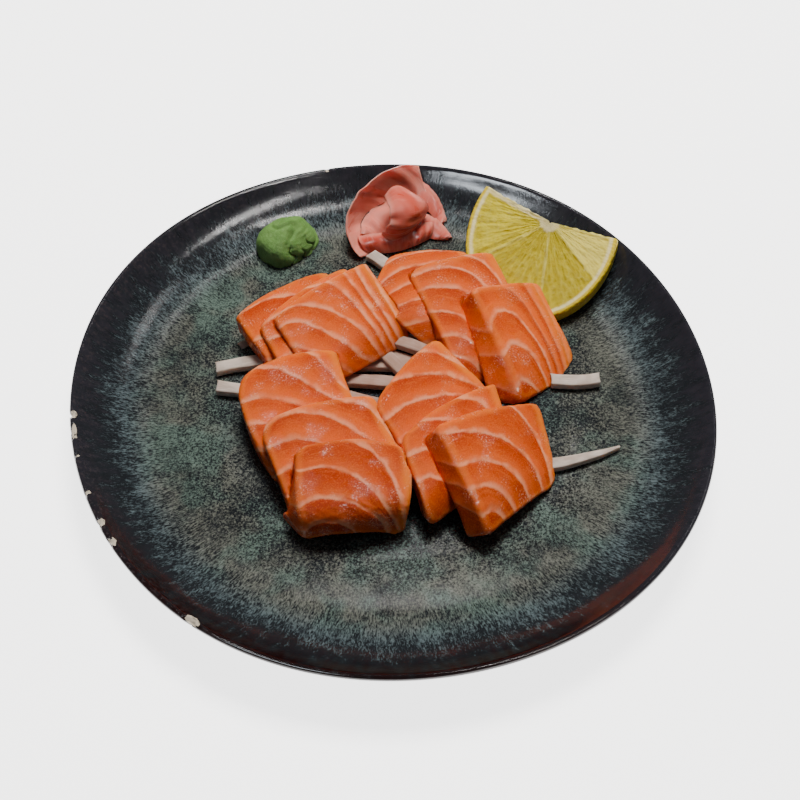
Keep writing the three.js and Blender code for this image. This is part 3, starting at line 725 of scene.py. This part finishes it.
# ---------------------------------------------------------------- daikon
STRIP_WIDE = 5
STRIP_THICK = 3.2
STRIP_NET = (8, 40, 6)  # divisions across a strip, along it and through it
PACKED_NET = (4, 18, 3)
MOUND_NET = (16, 16, 4)
LOOSE_STRIPS = [
    {"name": "daikon_strip_left_1", "from": (-62, 15), "to": (-37, 19), "bow": 1},
    {"name": "daikon_strip_left_2", "from": (-61, 7), "to": (-38, 5.5), "bow": -1},
    {"name": "daikon_strip_back", "from": (-8, 70), "to": (9, 51), "bow": 1},
    {"name": "daikon_strip_right_1", "from": (73, 10.5), "to": (56, 10), "bow": 1},
    {"name": "daikon_strip_right_2", "from": (77.5, -18.5), "to": (44, -27.5), "bow": 1.5, "pointed": 0.85},
]
HEAP_STRIPS = [
    {"from": (-4, 27), "to": (22, 15), "z": 9.6, "bow": 1},
    {"from": (-2, 34), "to": (24, 24), "z": 7, "bow": 1},
    {"from": (-10, 28), "to": (12, 1), "z": 8, "bow": 1},
    {"from": (-26, 10), "to": (20, 6), "z": 6.4, "bow": 1},
    {"from": (-24, 6), "to": (16, -6), "z": 6.2, "bow": -1},
    {"from": (-8, 24), "to": (18, 11), "z": 6.4, "bow": 1},
    {"from": (-22, 15), "to": (2, 17), "z": 6.2, "bow": 1},
]
# Low mounds of packed strips that carry the four fans: x, y, half width, half depth and height.
MOUNDS = [(-31, 30, 15, 13, 13), (20, 42, 15, 14, 13), (-26, -8, 14, 18, 14), (-13, -38, 13, 9, 11),
          (20, -10, 15, 14, 13), (42, 32, 10, 12, 9), (32, -30, 10, 11, 9)]
PACKED_STRIPS = 90


def lay_strip(strip, net, seed):
    """A cut strip of radish: square in section with soft edges, a little bowed and uneven."""
    across, along, up = net.T
    start = np.array(strip["from"], float)
    run = np.array(strip["to"], float) - start
    length = np.hypot(*run)
    run = run / length
    t = (1 - along) / 2
    pointed = 1 - strip.get("pointed", 0) * (1 - t) ** 2
    corner = np.sqrt(np.clip(across**2 + up**2, 1, 2))
    soft = blend(1, 1 / corner, 0.45)
    wide = strip.get("wide", STRIP_WIDE)
    uneven = Ripples(seed, 14, dimensions=1)
    half = wide / 2 * pointed * (1 + 0.06 * uneven(t * length))
    side = across * soft * half + strip["bow"] * 4 * t * (1 - t)
    reach = t * length - along * 0.5 * (across**2 * 0.6 + up**2 * 0.4) + along * 0.3
    thick = strip.get("thick", STRIP_THICK)
    rise = (up * soft + 1) / 2 * thick * blend(1, pointed, 0.4) + 0.12 * uneven(t * length + 40)
    x = start[0] + run[0] * reach - run[1] * side
    y = start[1] + run[1] * reach + run[0] * side
    fibre = np.stack([across * wide / 2, t * length, up * thick / 2], -1) + seed * 7.3
    return np.stack([x, y, strip.get("z", FLOOR_HEIGHT + GAP) + rise], -1), fibre


def mound_height(x, y):
    """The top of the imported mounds."""
    height = np.zeros_like(x)
    for cx, cy, wide, deep, high in MOUNDS:
        left = 1 - ((x - cx) / wide) ** 2 - ((y - cy) / deep) ** 2
        height = np.maximum(height, high * np.sqrt(np.clip(left, 0, 1)))
    return height


def packed_strips(seed):
    """Strips of all headings laid over the mounds, with a seeded draw."""
    draw = np.random.default_rng(seed)
    for _ in range(PACKED_STRIPS):
        cx, cy, wide, deep, _ = MOUNDS[draw.integers(len(MOUNDS))]
        middle = np.array([cx, cy]) + draw.normal(size=2) * (wide, deep) * 0.42
        turn = draw.uniform(0, math.pi)
        half = draw.uniform(7, 12) * np.array([math.cos(turn), math.sin(turn)])
        yield {"from": middle - half, "to": middle + half, "bow": draw.uniform(-2, 2),
               "wide": draw.uniform(2.6, 4.4), "thick": draw.uniform(1.6, 2.6), "z": 0}


def keep_below(points, undersides, deep=0.1):
    """Keeps the points of the bed under the slices and over the floor."""
    keep_under(points, undersides)
    points[:, 2] = np.maximum(points[:, 2], FLOOR_HEIGHT + GAP + deep)
    return points


def bed_parts(undersides):
    """The points, fibre places and faces of each strip of the bed and of the core under them."""
    net, faces = box_surface(STRIP_NET)
    for seed, strip in enumerate(HEAP_STRIPS):
        points, fibre = lay_strip(strip, net, seed + 20)
        yield keep_below(points, undersides), fibre, faces
    net, faces = box_surface(PACKED_NET)
    for seed, strip in enumerate(packed_strips(5)):
        points, fibre = lay_strip(strip, net, seed + 40)
        points[:, 2] += mound_height(points[:, 0], points[:, 1]) * 0.86 + FLOOR_HEIGHT - 1
        yield keep_below(points, undersides, 0.1 + 0.1 * (net[:, 2] > 0)), fibre, faces
    dome, faces = box_surface(MOUND_NET)
    for cx, cy, wide, deep, high in MOUNDS:
        points = unit(dome) * (wide, deep, high) * 0.88 + (cx, cy, FLOOR_HEIGHT + GAP)
        points = keep_below(points, undersides)
        yield points, points, faces


def make_daikon_pieces(material, undersides):
    net, faces = box_surface(STRIP_NET)
    for seed, strip in enumerate(LOOSE_STRIPS):
        points, fibre = lay_strip(strip, net, seed)
        name = strip["name"]
        make_piece(name + "_cut", points, faces, [name], material, {"fibre": fibre})
    clouds, fibres, nets = [], [], []
    total = 0
    for points, fibre, faces in bed_parts(undersides):
        clouds.append(points)
        fibres.append(fibre)
        nets.append(faces + total)
        total += len(points)
    # Every point of the bed gets the painted shade.
    attributes = {"fibre": np.concatenate(fibres), "stain": np.ones(total)}
    bed, net = np.concatenate(clouds), np.concatenate(nets)
    make_piece("daikon_bed", bed, net, ["daikon_heap"], material, attributes)


def make_daikon():
    """Raw radish: translucent, with pale threads along it, and painted darker and pinker in the bed, as
    painted shade under the slices.
    """
    s = Shader("raw_daikon")
    fibre = s.attribute("fibre", "Vector")
    drawn = s.vector("MULTIPLY", fibre, (1, 0.12, 1))
    threads = s.noise(drawn, 0.7, detail=3)
    water = s.noise(fibre, 5, detail=2)
    colour = s.mix(s.step(water, 0.35, 0.65), 0xB2A296, 0xCABCB0)
    colour = s.mix(s.step(threads, 0.5, 0.7, 0, 0.5), colour, 0xDDD2C8)
    # Painted shade: the strips of the bed are painted darker and pinker, where the slices shade them.
    colour = s.mix(s.times(s.attribute("stain"), 0.65), colour, 0x98705E)
    relief = s.bump(threads, 0.12, 0.5)
    rough = s.step(water, 0.3, 0.7, 0.28, 0.45)
    return s.surface(base_color=colour, roughness=rough, normal=relief, ior=1.38, subsurface_weight=0.5,
                     subsurface_radius=(1.0, 0.8, 0.65), subsurface_scale=2.5 * MM)


# ---------------------------------------------------------------- wasabi
WASABI = {"x": -40, "y": 76, "wide": 12.6, "deep": 9.4, "high": 11.5, "turn": 42}
WASABI_SUBDIVISIONS = 7
# Cracks round its foot: the heading in radians, and how high each reaches and how wide it is, as shares.
WASABI_CRACKS = [(-1.45, 0.1, 0.05), (-1.05, 0.3, 0.035), (-1.9, 0.35, 0.03), (0.6, 0.6, 0.03)]


def crack_depth(x, y, z):
    """The cracks of the lump, over a ball of radius one."""
    cracks = np.zeros_like(z)
    for heading, height, size in WASABI_CRACKS:
        wander = 0.12 * Ripples(round(1000 * size), 0.5, dimensions=1)(z)
        path = np.arctan2(y, x) - heading - wander
        cracks = cracks + np.exp(-((path / size) ** 2)) * smooth((height + 0.5 - z) / 0.5)
    return cracks


def make_wasabi_piece(material):
    ball = bmesh.new()
    bmesh.ops.create_icosphere(ball, subdivisions=WASABI_SUBDIVISIONS, radius=1)
    points = np.array([v.co for v in ball.verts])
    faces = np.array([[v.index for v in f.verts] for f in ball.faces])
    ball.free()
    x, y, z = points.T
    lump = 1 + 0.05 * np.sin(3 * x + 1) * np.cos(4 * y) + 0.04 * np.sin(5 * z + 2 * x)
    lump = lump + 0.025 * Ripples(3, 0.5)(x, y, z) + 0.008 * Ripples(4, 0.12)(x, y, z)
    cracks = crack_depth(x, y, z)
    press = np.abs(Ripples(9, 1.1)(x, y, z))
    lump = lump - 0.11 * cracks - 0.07 * np.exp(-((press / 0.1) ** 2))
    points = points * lump[:, None] * (WASABI["wide"], WASABI["deep"], WASABI["high"])
    turn = math.radians(WASABI["turn"])
    spin = np.array([[math.cos(turn), math.sin(turn), 0], [-math.sin(turn), math.cos(turn), 0], [0, 0, 1]])
    points = points @ spin + (WASABI["x"], WASABI["y"], 0)
    rest = plate_surface(points[:, 0], points[:, 1]) + GAP
    points[:, 2] = np.maximum(rest, points[:, 2] + rest - 0.5)
    attributes = {"crack": np.clip(cracks, 0, 1)}
    make_piece("wasabi_lump", points, faces, ["wasabi"], material, attributes)


def make_wasabi():
    """Green paste: matt and grainy, with painted shade in its cracks."""
    s = Shader("wasabi_paste")
    spot = s.place()
    grain = s.noise(spot, 0.45, detail=4, roughness=0.7)
    patch = s.noise(spot, 4, detail=3)
    colour = s.mix(patch, 0x4E7A34, 0x7AA058)
    colour = s.mix(s.step(grain, 0.52, 0.7, 0, 0.45), colour, 0x98B878)
    # Painted shade: the cracks are painted darker green.
    colour = s.mix(s.times(s.attribute("crack"), 0.5), colour, 0x36582A)
    relief = s.bump(grain, 0.25, 0.8)
    return s.surface(base_color=colour, roughness=0.62, normal=relief, ior=1.4,
                     subsurface_weight=0.2, subsurface_radius=(0.6, 1.0, 0.4), subsurface_scale=1.2 * MM)


# ---------------------------------------------------------------- lemon
# Half an oval slice. Its flesh runs round the core, as headings in degrees, from one cut edge to the other.
LEMON_CORE = np.array([59, 75.5, 20.2])
LEMON_NORMAL = unit(np.array([-0.154, -0.21, 0.966]))
LEMON_THICK = 6
LEMON_OVAL = {"x": -3.3, "y": -3.8, "long": 37, "short": 28.2, "turn": 77}
MEMBRANES = (142, 206, 261, 300, 338)
RIND_THICK = 0.9
PITH_THICK = 1.3
LEMON_NET = (200, 90, 8)  # divisions round the core, outward and through the slice


def oval_reach(heading):
    """How far the rind is from the core, at a heading in radians."""
    turn = math.radians(LEMON_OVAL["turn"])

    def turned(x, y):
        along = (x * math.cos(turn) + y * math.sin(turn)) / LEMON_OVAL["long"]
        return along, (y * math.cos(turn) - x * math.sin(turn)) / LEMON_OVAL["short"]

    dx, dy = turned(np.cos(heading), np.sin(heading))
    cx, cy = turned(LEMON_OVAL["x"], LEMON_OVAL["y"])
    a = dx * dx + dy * dy
    b = dx * cx + dy * cy
    return (b + np.sqrt(b * b - a * (cx * cx + cy * cy - 1))) / a


def lemon_relief(heading, radius, inset, to_membrane, first_cut):
    """How far the cut face stands up: sunken juice sacs, and raised membranes and first cut edge."""
    pulp = smooth((inset - RIND_THICK - PITH_THICK) / 1.2) * smooth((radius - 3) / 2)
    turned = np.degrees(heading) * 0.5
    sacs = 0.22 * Ripples(11, 2.6, dimensions=2)(turned, radius * 0.45)
    fine = 0.12 * Ripples(12, 1.1, dimensions=2)(turned, radius * 0.6)
    ridges = 0.3 * np.exp(-((to_membrane / 0.6) ** 2)) * pulp
    return pulp * (sacs + fine - 0.35) + ridges + 0.35 * np.exp(-((first_cut / 1.2) ** 2))


def lemon_place(heading, radius, rise):
    """The point at a heading and a radius from the core, that far above the cut face."""
    right = unit(np.array([1, 0, 0]) - LEMON_NORMAL * LEMON_NORMAL[0])
    back = np.cross(LEMON_NORMAL, right)
    flat = np.cos(heading)[:, None] * right + np.sin(heading)[:, None] * back
    return LEMON_CORE + flat * radius[:, None] + LEMON_NORMAL * rise[:, None]


def make_lemon_piece(material, undersides):
    net, faces = box_surface(LEMON_NET)
    first, last = MEMBRANES[0], MEMBRANES[-1]
    heading = np.radians(blend(first, last, (1 - net[:, 0]) / 2))
    outward = (net[:, 1] + 1) / 2
    up = net[:, 2]
    reach = oval_reach(heading)
    edge = 0.7 * np.clip(np.abs(up) - 0.7, 0, 1) / 0.3
    radius = 0.5 + (reach - 0.5 - edge) * outward
    inset = reach - edge - radius
    to_membrane = np.min([np.abs(heading - math.radians(m)) for m in MEMBRANES], 0) * radius
    first_cut = np.abs(heading - math.radians(first)) * radius
    relief = lemon_relief(heading, radius, inset, to_membrane, first_cut)
    ragged = Ripples(13, 5, dimensions=1)(radius) * 0.9 * smooth((radius - 4) / 4)
    cut_edge = (net[:, 0] > 0.9999) - (net[:, 0] < -0.9999) * 1.0
    turned = heading + cut_edge * -0.4 * ragged / np.maximum(radius, 4)
    rise = (up - 1) / 2 * LEMON_THICK + np.clip(up, 0, 1) ** 6 * (relief - 0.05)
    points = lemon_place(turned, radius, rise)
    keep_under(points, undersides, -0.02 * up)
    rest_on_plate(points)
    attributes = {
        "inset": inset,
        "core_distance": radius,
        "membrane": to_membrane,
        "heading": np.degrees(heading),
        "sac": np.stack([np.degrees(heading) * 0.5, radius * 0.5, rise], -1),
        "first_cut": first_cut,
    }
    make_piece("lemon_half_slice", points, faces, ["lemon_slice"], material, attributes)


def lemon_flesh(s, sac, sacs, wobble):
    """Juice sacs, darker in the two middle segments and paler in the right one, and faint membranes."""
    heading = s.attribute("heading")
    left, right = MEMBRANES[1], MEMBRANES[3]
    streak = s.noise(s.vector("MULTIPLY", sac, (1, 0.25, 1)), 1.3, detail=3)
    flesh = s.mix(s.step(streak, 0.3, 0.7), 0xAE9A18, 0xD6C432)
    middle = s.times(s.step(heading, left - 2, left + 2), s.step(heading, right + 2, right - 2))
    flesh = s.mix(s.times(middle, 0.6), flesh, 0xA08A10)
    flesh = s.mix(s.times(s.step(heading, right - 2, right + 3), 0.45), flesh, 0xF0E080)
    flesh = s.mix(s.step(sacs, 0.35, 0.8, 0, 0.15), flesh, 0xE6DA68)
    membrane = s.step(s.math("ADD", s.attribute("membrane"), s.times(wobble, 0.5)), 0.75, 0.25)
    return s.mix(s.times(membrane, 0.25), flesh, 0xE0D888)


def make_lemon():
    """Lemon: juice sacs between pale membranes, a white core and pith, and a yellow rind."""
    s = Shader("cut_lemon")
    spot = s.place()
    sac = s.attribute("sac", "Vector")
    inset = s.attribute("inset")
    wobble = s.times_add(s.noise(spot, 2.2, detail=2), 1.0, -0.5)
    sacs = s.cells(sac, 1.5, 0.4)
    peel = RIND_THICK + PITH_THICK
    white = s.step(s.math("ADD", inset, wobble), peel + 0.5, peel - 0.6)
    core = s.step(s.math("ADD", s.attribute("core_distance"), s.times(wobble, 2.4)), 4.4, 3.4)
    cut = s.step(s.math("ADD", s.attribute("first_cut"), s.times(wobble, 0.8)), 2.1, 1.3)
    pale = s.math("MAXIMUM", s.math("MAXIMUM", white, core), cut)
    colour = s.mix(s.times(pale, 0.9), lemon_flesh(s, sac, sacs, wobble), 0xE4D6A0)
    rind = s.step(s.times_add(wobble, 0.5, inset), RIND_THICK + 0.2, RIND_THICK - 0.3)
    colour = s.mix(rind, colour, s.mix(s.noise(spot, 0.9, detail=2), 0xC0A010, 0xE0C830))
    relief = s.bump(sacs, 0.6, 0.8)
    relief = s.bump(s.noise(spot, 0.8, detail=3), 0.35, 0.8, relief)
    rough = s.step(pale, 0, 1, 0.1, 0.45)
    return s.surface(base_color=colour, roughness=rough, normal=relief, ior=1.36, subsurface_weight=0.4,
                     subsurface_radius=(1.0, 0.9, 0.4), subsurface_scale=2.5 * MM)


# ---------------------------------------------------------------- ginger
# Thin slices wrap round a hollow. Each is a sheet between its foot and its rim, which are curves through four
# places (x, y, z). bulge: how far its middle stands out. pale: 1 on slices painted lighter, as painted light
# in shade.
GINGER_THICK = 1.1
PETAL_NET = (90, 50, 4)  # divisions along a slice, from its foot to its rim and through it
PETALS = [
    {"name": "ginger_outer", "bulge": -1, "pale": 1,
     "rim": [(-12, 69, 8), (-17, 82, 17), (-7, 96, 23), (10, 104, 22)],
     "foot": [(-7, 73, 7), (-12, 86, 10), (-2, 95, 12), (14, 94, 13)]},
    {"name": "ginger_fold", "bulge": -3, "pale": 0,
     "rim": [(-3, 89, 20), (-1, 80, 23), (-1, 76, 20), (-4, 76, 13)],
     "foot": [(6, 93, 18), (12, 89, 18), (13, 86, 15), (5, 80, 10)]},
    {"name": "ginger_inner", "bulge": 0.8, "pale": 1,
     "rim": [(-12, 79, 10), (-11, 86, 11), (-7, 92, 11), (-1, 95, 12)],
     "foot": [(-10, 79, 8), (-6, 80, 8), (-1, 83, 9), (2, 86, 10)]},
    {"name": "ginger_front", "bulge": 1.5, "pale": 0,
     "rim": [(-13, 78, 10), (-4, 78, 12), (5, 80, 12), (15, 86, 11)],
     "foot": [(-10, 73, 7), (-3, 72, 7), (5, 74, 7), (15, 80, 7)]},
    {"name": "ginger_back", "bulge": 0.5, "pale": 0,
     "rim": [(11, 102, 16), (16, 98, 14), (19, 94, 11), (21, 88, 8)],
     "foot": [(9, 94, 13), (12, 92, 11), (15, 90, 9), (17, 85, 7)]},
    {"name": "ginger_right", "bulge": 1, "pale": 0,
     "rim": [(13, 88, 12), (17, 86, 11), (20, 84, 9), (23, 80, 7)],
     "foot": [(10, 83, 8), (14, 80, 7), (17, 79, 7), (21, 79, 7)]},
]


def sheet_point(petal, s, t):
    """A point of a ginger slice's middle sheet: s runs along it and t from its foot to its rim."""
    return blend(curve_through(petal["foot"], s), curve_through(petal["rim"], s), t[:, None])


def make_petals(material, undersides):
    """The ginger slices: sheets with soft folds, torn rims and thin edges."""
    net, faces = box_surface(PETAL_NET)
    s, t, up = (1 + net[:, 0]) / 2, (1 + net[:, 1]) / 2, net[:, 2]
    small = 0.01
    for seed, petal in enumerate(PETALS):
        along = sheet_point(petal, s + small, t) - sheet_point(petal, s - small, t)
        rise = sheet_point(petal, s, t + small) - sheet_point(petal, s, t - small)
        long = np.linalg.norm(along, axis=1) / (2 * small)
        wide = np.linalg.norm(rise, axis=1) / (2 * small)
        normal = unit(np.cross(along, rise))
        folds = Ripples(seed + 30, 8, dimensions=2)(s * long, t * wide * 0.5)
        torn = Ripples(seed + 60, 5, dimensions=1)(s * 25)
        thin = 1 - 0.55 * smooth((t - 0.75) / 0.25) - 0.3 * smooth((np.abs(s - 0.5) - 0.42) / 0.08)
        offset = petal["bulge"] * 4 * t * (1 - t) + 0.5 * folds + up * GINGER_THICK / 2 * thin
        points = sheet_point(petal, s, t * (1 + 0.02 * torn)) + normal * offset[:, None]
        rest_on_plate(points)
        keep_under(points, undersides, -0.02 * up)
        attributes = {
            "edge": np.minimum((1 - t) * wide, np.minimum(s, 1 - s) * long),
            "fibre": np.stack([s * long, t * wide, up], -1) + seed * 11.0,
            # pale: painted light on the slices that lie in the shade of the others.
            "pale": np.full(len(points), float(petal["pale"])),
        }
        make_piece(petal["name"] + "_slice", points, faces, [petal["name"]], material, attributes)


def make_ginger():
    """Pickled ginger: coral pink with fine threads, paler at its thin edges, and painted lighter where it
    lies in shade.
    """
    s = Shader("pickled_ginger")
    fibre = s.attribute("fibre", "Vector")
    threads = s.noise(s.vector("MULTIPLY", fibre, (1, 0.15, 1)), 0.8, detail=3)
    blush = s.noise(fibre, 7, detail=2)
    colour = s.mix(s.step(blush, 0.3, 0.7), 0xC84C3A, 0xDC7260)
    colour = s.mix(s.step(threads, 0.5, 0.75, 0, 0.4), colour, 0xEC9080)
    # Painted light: the slices marked pale are painted lighter against the shade on them.
    colour = s.mix(s.times(s.attribute("pale"), 0.5), colour, 0xF2A08E)
    colour = s.mix(s.step(s.attribute("edge"), 2.2, 0.1, 0, 0.55), colour, 0xE89C8C)
    relief = s.bump(threads, 0.15, 0.5)
    return s.surface(base_color=colour, roughness=s.step(blush, 0.3, 0.7, 0.24, 0.42), normal=relief, ior=1.4,
                     subsurface_weight=0.5, subsurface_radius=(1.0, 0.4, 0.3), subsurface_scale=2 * MM,
                     coat_weight=0.2, coat_roughness=0.15)


# ---------------------------------------------------------------- studio
CAMERA_AIM = np.array([2.96, -6.77, 18.6])
CAMERA_DISTANCE = 473.85
CAMERA_ELEVATION = math.radians(52.65)
CAMERA_LENS = 63.06
SENSOR = 36
FLOOR_HALF = 2.0  # metres
# Each light: its direction from the plate, distance and size in metres, watts, colour, and what it lights.
LIGHTS = {
    "ceiling": ((0.1, 0.42, 0.9), 1.1, (0.45, 0.35), 19, (1.0, 0.97, 0.93), "surfaces"),
    "lamp": ((0, 0.51, 0.86), 1.1, (0.085, 0.014), 0.09, (1.0, 0.98, 0.96), "gloss"),
    "lamp_right": ((0.3, 0.47, 0.82), 1.1, (0.12, 0.03), 0.25, (1.0, 0.98, 0.96), "gloss"),
    "strip": ((0.38, -0.15, 0.91), 1.2, (0.55, 0.025), 3.2, (1.0, 0.98, 0.96), "gloss"),
    "window": ((-0.36, -0.42, 0.83), 1.4, (0.5, 0.2), 7, (0.86, 0.93, 1.0), "gloss"),
    "spark": ((0.16, 0.06, 0.98), 1.1, (0.09, 0.06), 1.2, (1.0, 0.98, 0.96), "gloss"),
    "spark_left": ((-0.22, 0.2, 0.95), 1.1, (0.08, 0.05), 0.8, (1.0, 0.98, 0.96), "gloss"),
}


def add_camera():
    data = bpy.data.cameras.new("camera")
    data.lens = CAMERA_LENS
    data.sensor_width = SENSOR
    camera = bpy.data.objects.new("camera", data)
    toward = np.array([0, -math.cos(CAMERA_ELEVATION), math.sin(CAMERA_ELEVATION)])
    camera.location = (CAMERA_AIM + toward * CAMERA_DISTANCE) * MM
    camera.rotation_euler = (math.pi / 2 - CAMERA_ELEVATION, 0, 0)
    bpy.context.scene.collection.objects.link(camera)
    bpy.context.scene.camera = camera


def add_light(name, toward, distance, size, power, colour, seen_by):
    """A soft light that faces the plate from a direction. It lights surfaces or shows in their gloss."""
    data = bpy.data.lights.new(name, "AREA")
    data.shape = "RECTANGLE"
    data.size, data.size_y = size
    data.energy = power
    data.color = colour
    light = bpy.data.objects.new(name, data)
    light.visible_diffuse = light.visible_transmission = seen_by != "gloss"
    light.visible_glossy = seen_by != "surfaces"
    light.location = unit(np.array(toward, float)) * distance
    light.rotation_euler = light.location.to_track_quat("Z", "Y").to_euler()
    bpy.context.scene.collection.objects.link(light)


def add_world():
    world = bpy.data.worlds.new("studio")
    world.use_nodes = True
    background = world.node_tree.nodes["Background"]
    background.inputs["Color"].default_value = (0.9, 0.93, 1.0, 1)
    background.inputs["Strength"].default_value = 0.1
    bpy.context.scene.world = world


def add_floor():
    """A pale floor that glows, since the photo's is pure white."""
    s = Shader("pale_floor")
    paper = s.surface(base_color=(0.92, 0.92, 0.92, 1), roughness=0.8,
                      emission_color=(1, 1, 1, 1), emission_strength=3)
    corners = [(FLOOR_HALF * x, FLOOR_HALF * y, 0) for x, y in ((-1, -1), (1, -1), (1, 1), (-1, 1))]
    mesh = bpy.data.meshes.new("floor")
    mesh.from_pydata(corners, [], [(0, 1, 2, 3)])
    mesh.materials.append(paper)
    floor = bpy.data.objects.new("floor", mesh)
    bpy.context.scene.collection.objects.link(floor)


def add_studio():
    for name, settings in LIGHTS.items():
        add_light(name, *settings)
    add_world()
    add_floor()
    add_camera()


# ---------------------------------------------------------------- scene
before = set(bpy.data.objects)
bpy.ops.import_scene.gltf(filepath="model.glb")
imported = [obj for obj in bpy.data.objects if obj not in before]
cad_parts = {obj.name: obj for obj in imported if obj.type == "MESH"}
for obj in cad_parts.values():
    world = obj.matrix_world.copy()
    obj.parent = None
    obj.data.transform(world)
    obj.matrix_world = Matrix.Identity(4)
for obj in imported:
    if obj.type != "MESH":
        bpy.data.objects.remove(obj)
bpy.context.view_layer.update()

make_plate(make_glaze())
undersides = make_slices(make_salmon())
make_daikon_pieces(make_daikon(), undersides)
make_wasabi_piece(make_wasabi())
make_lemon_piece(make_lemon(), undersides)
make_petals(make_ginger(), undersides)
add_studio()
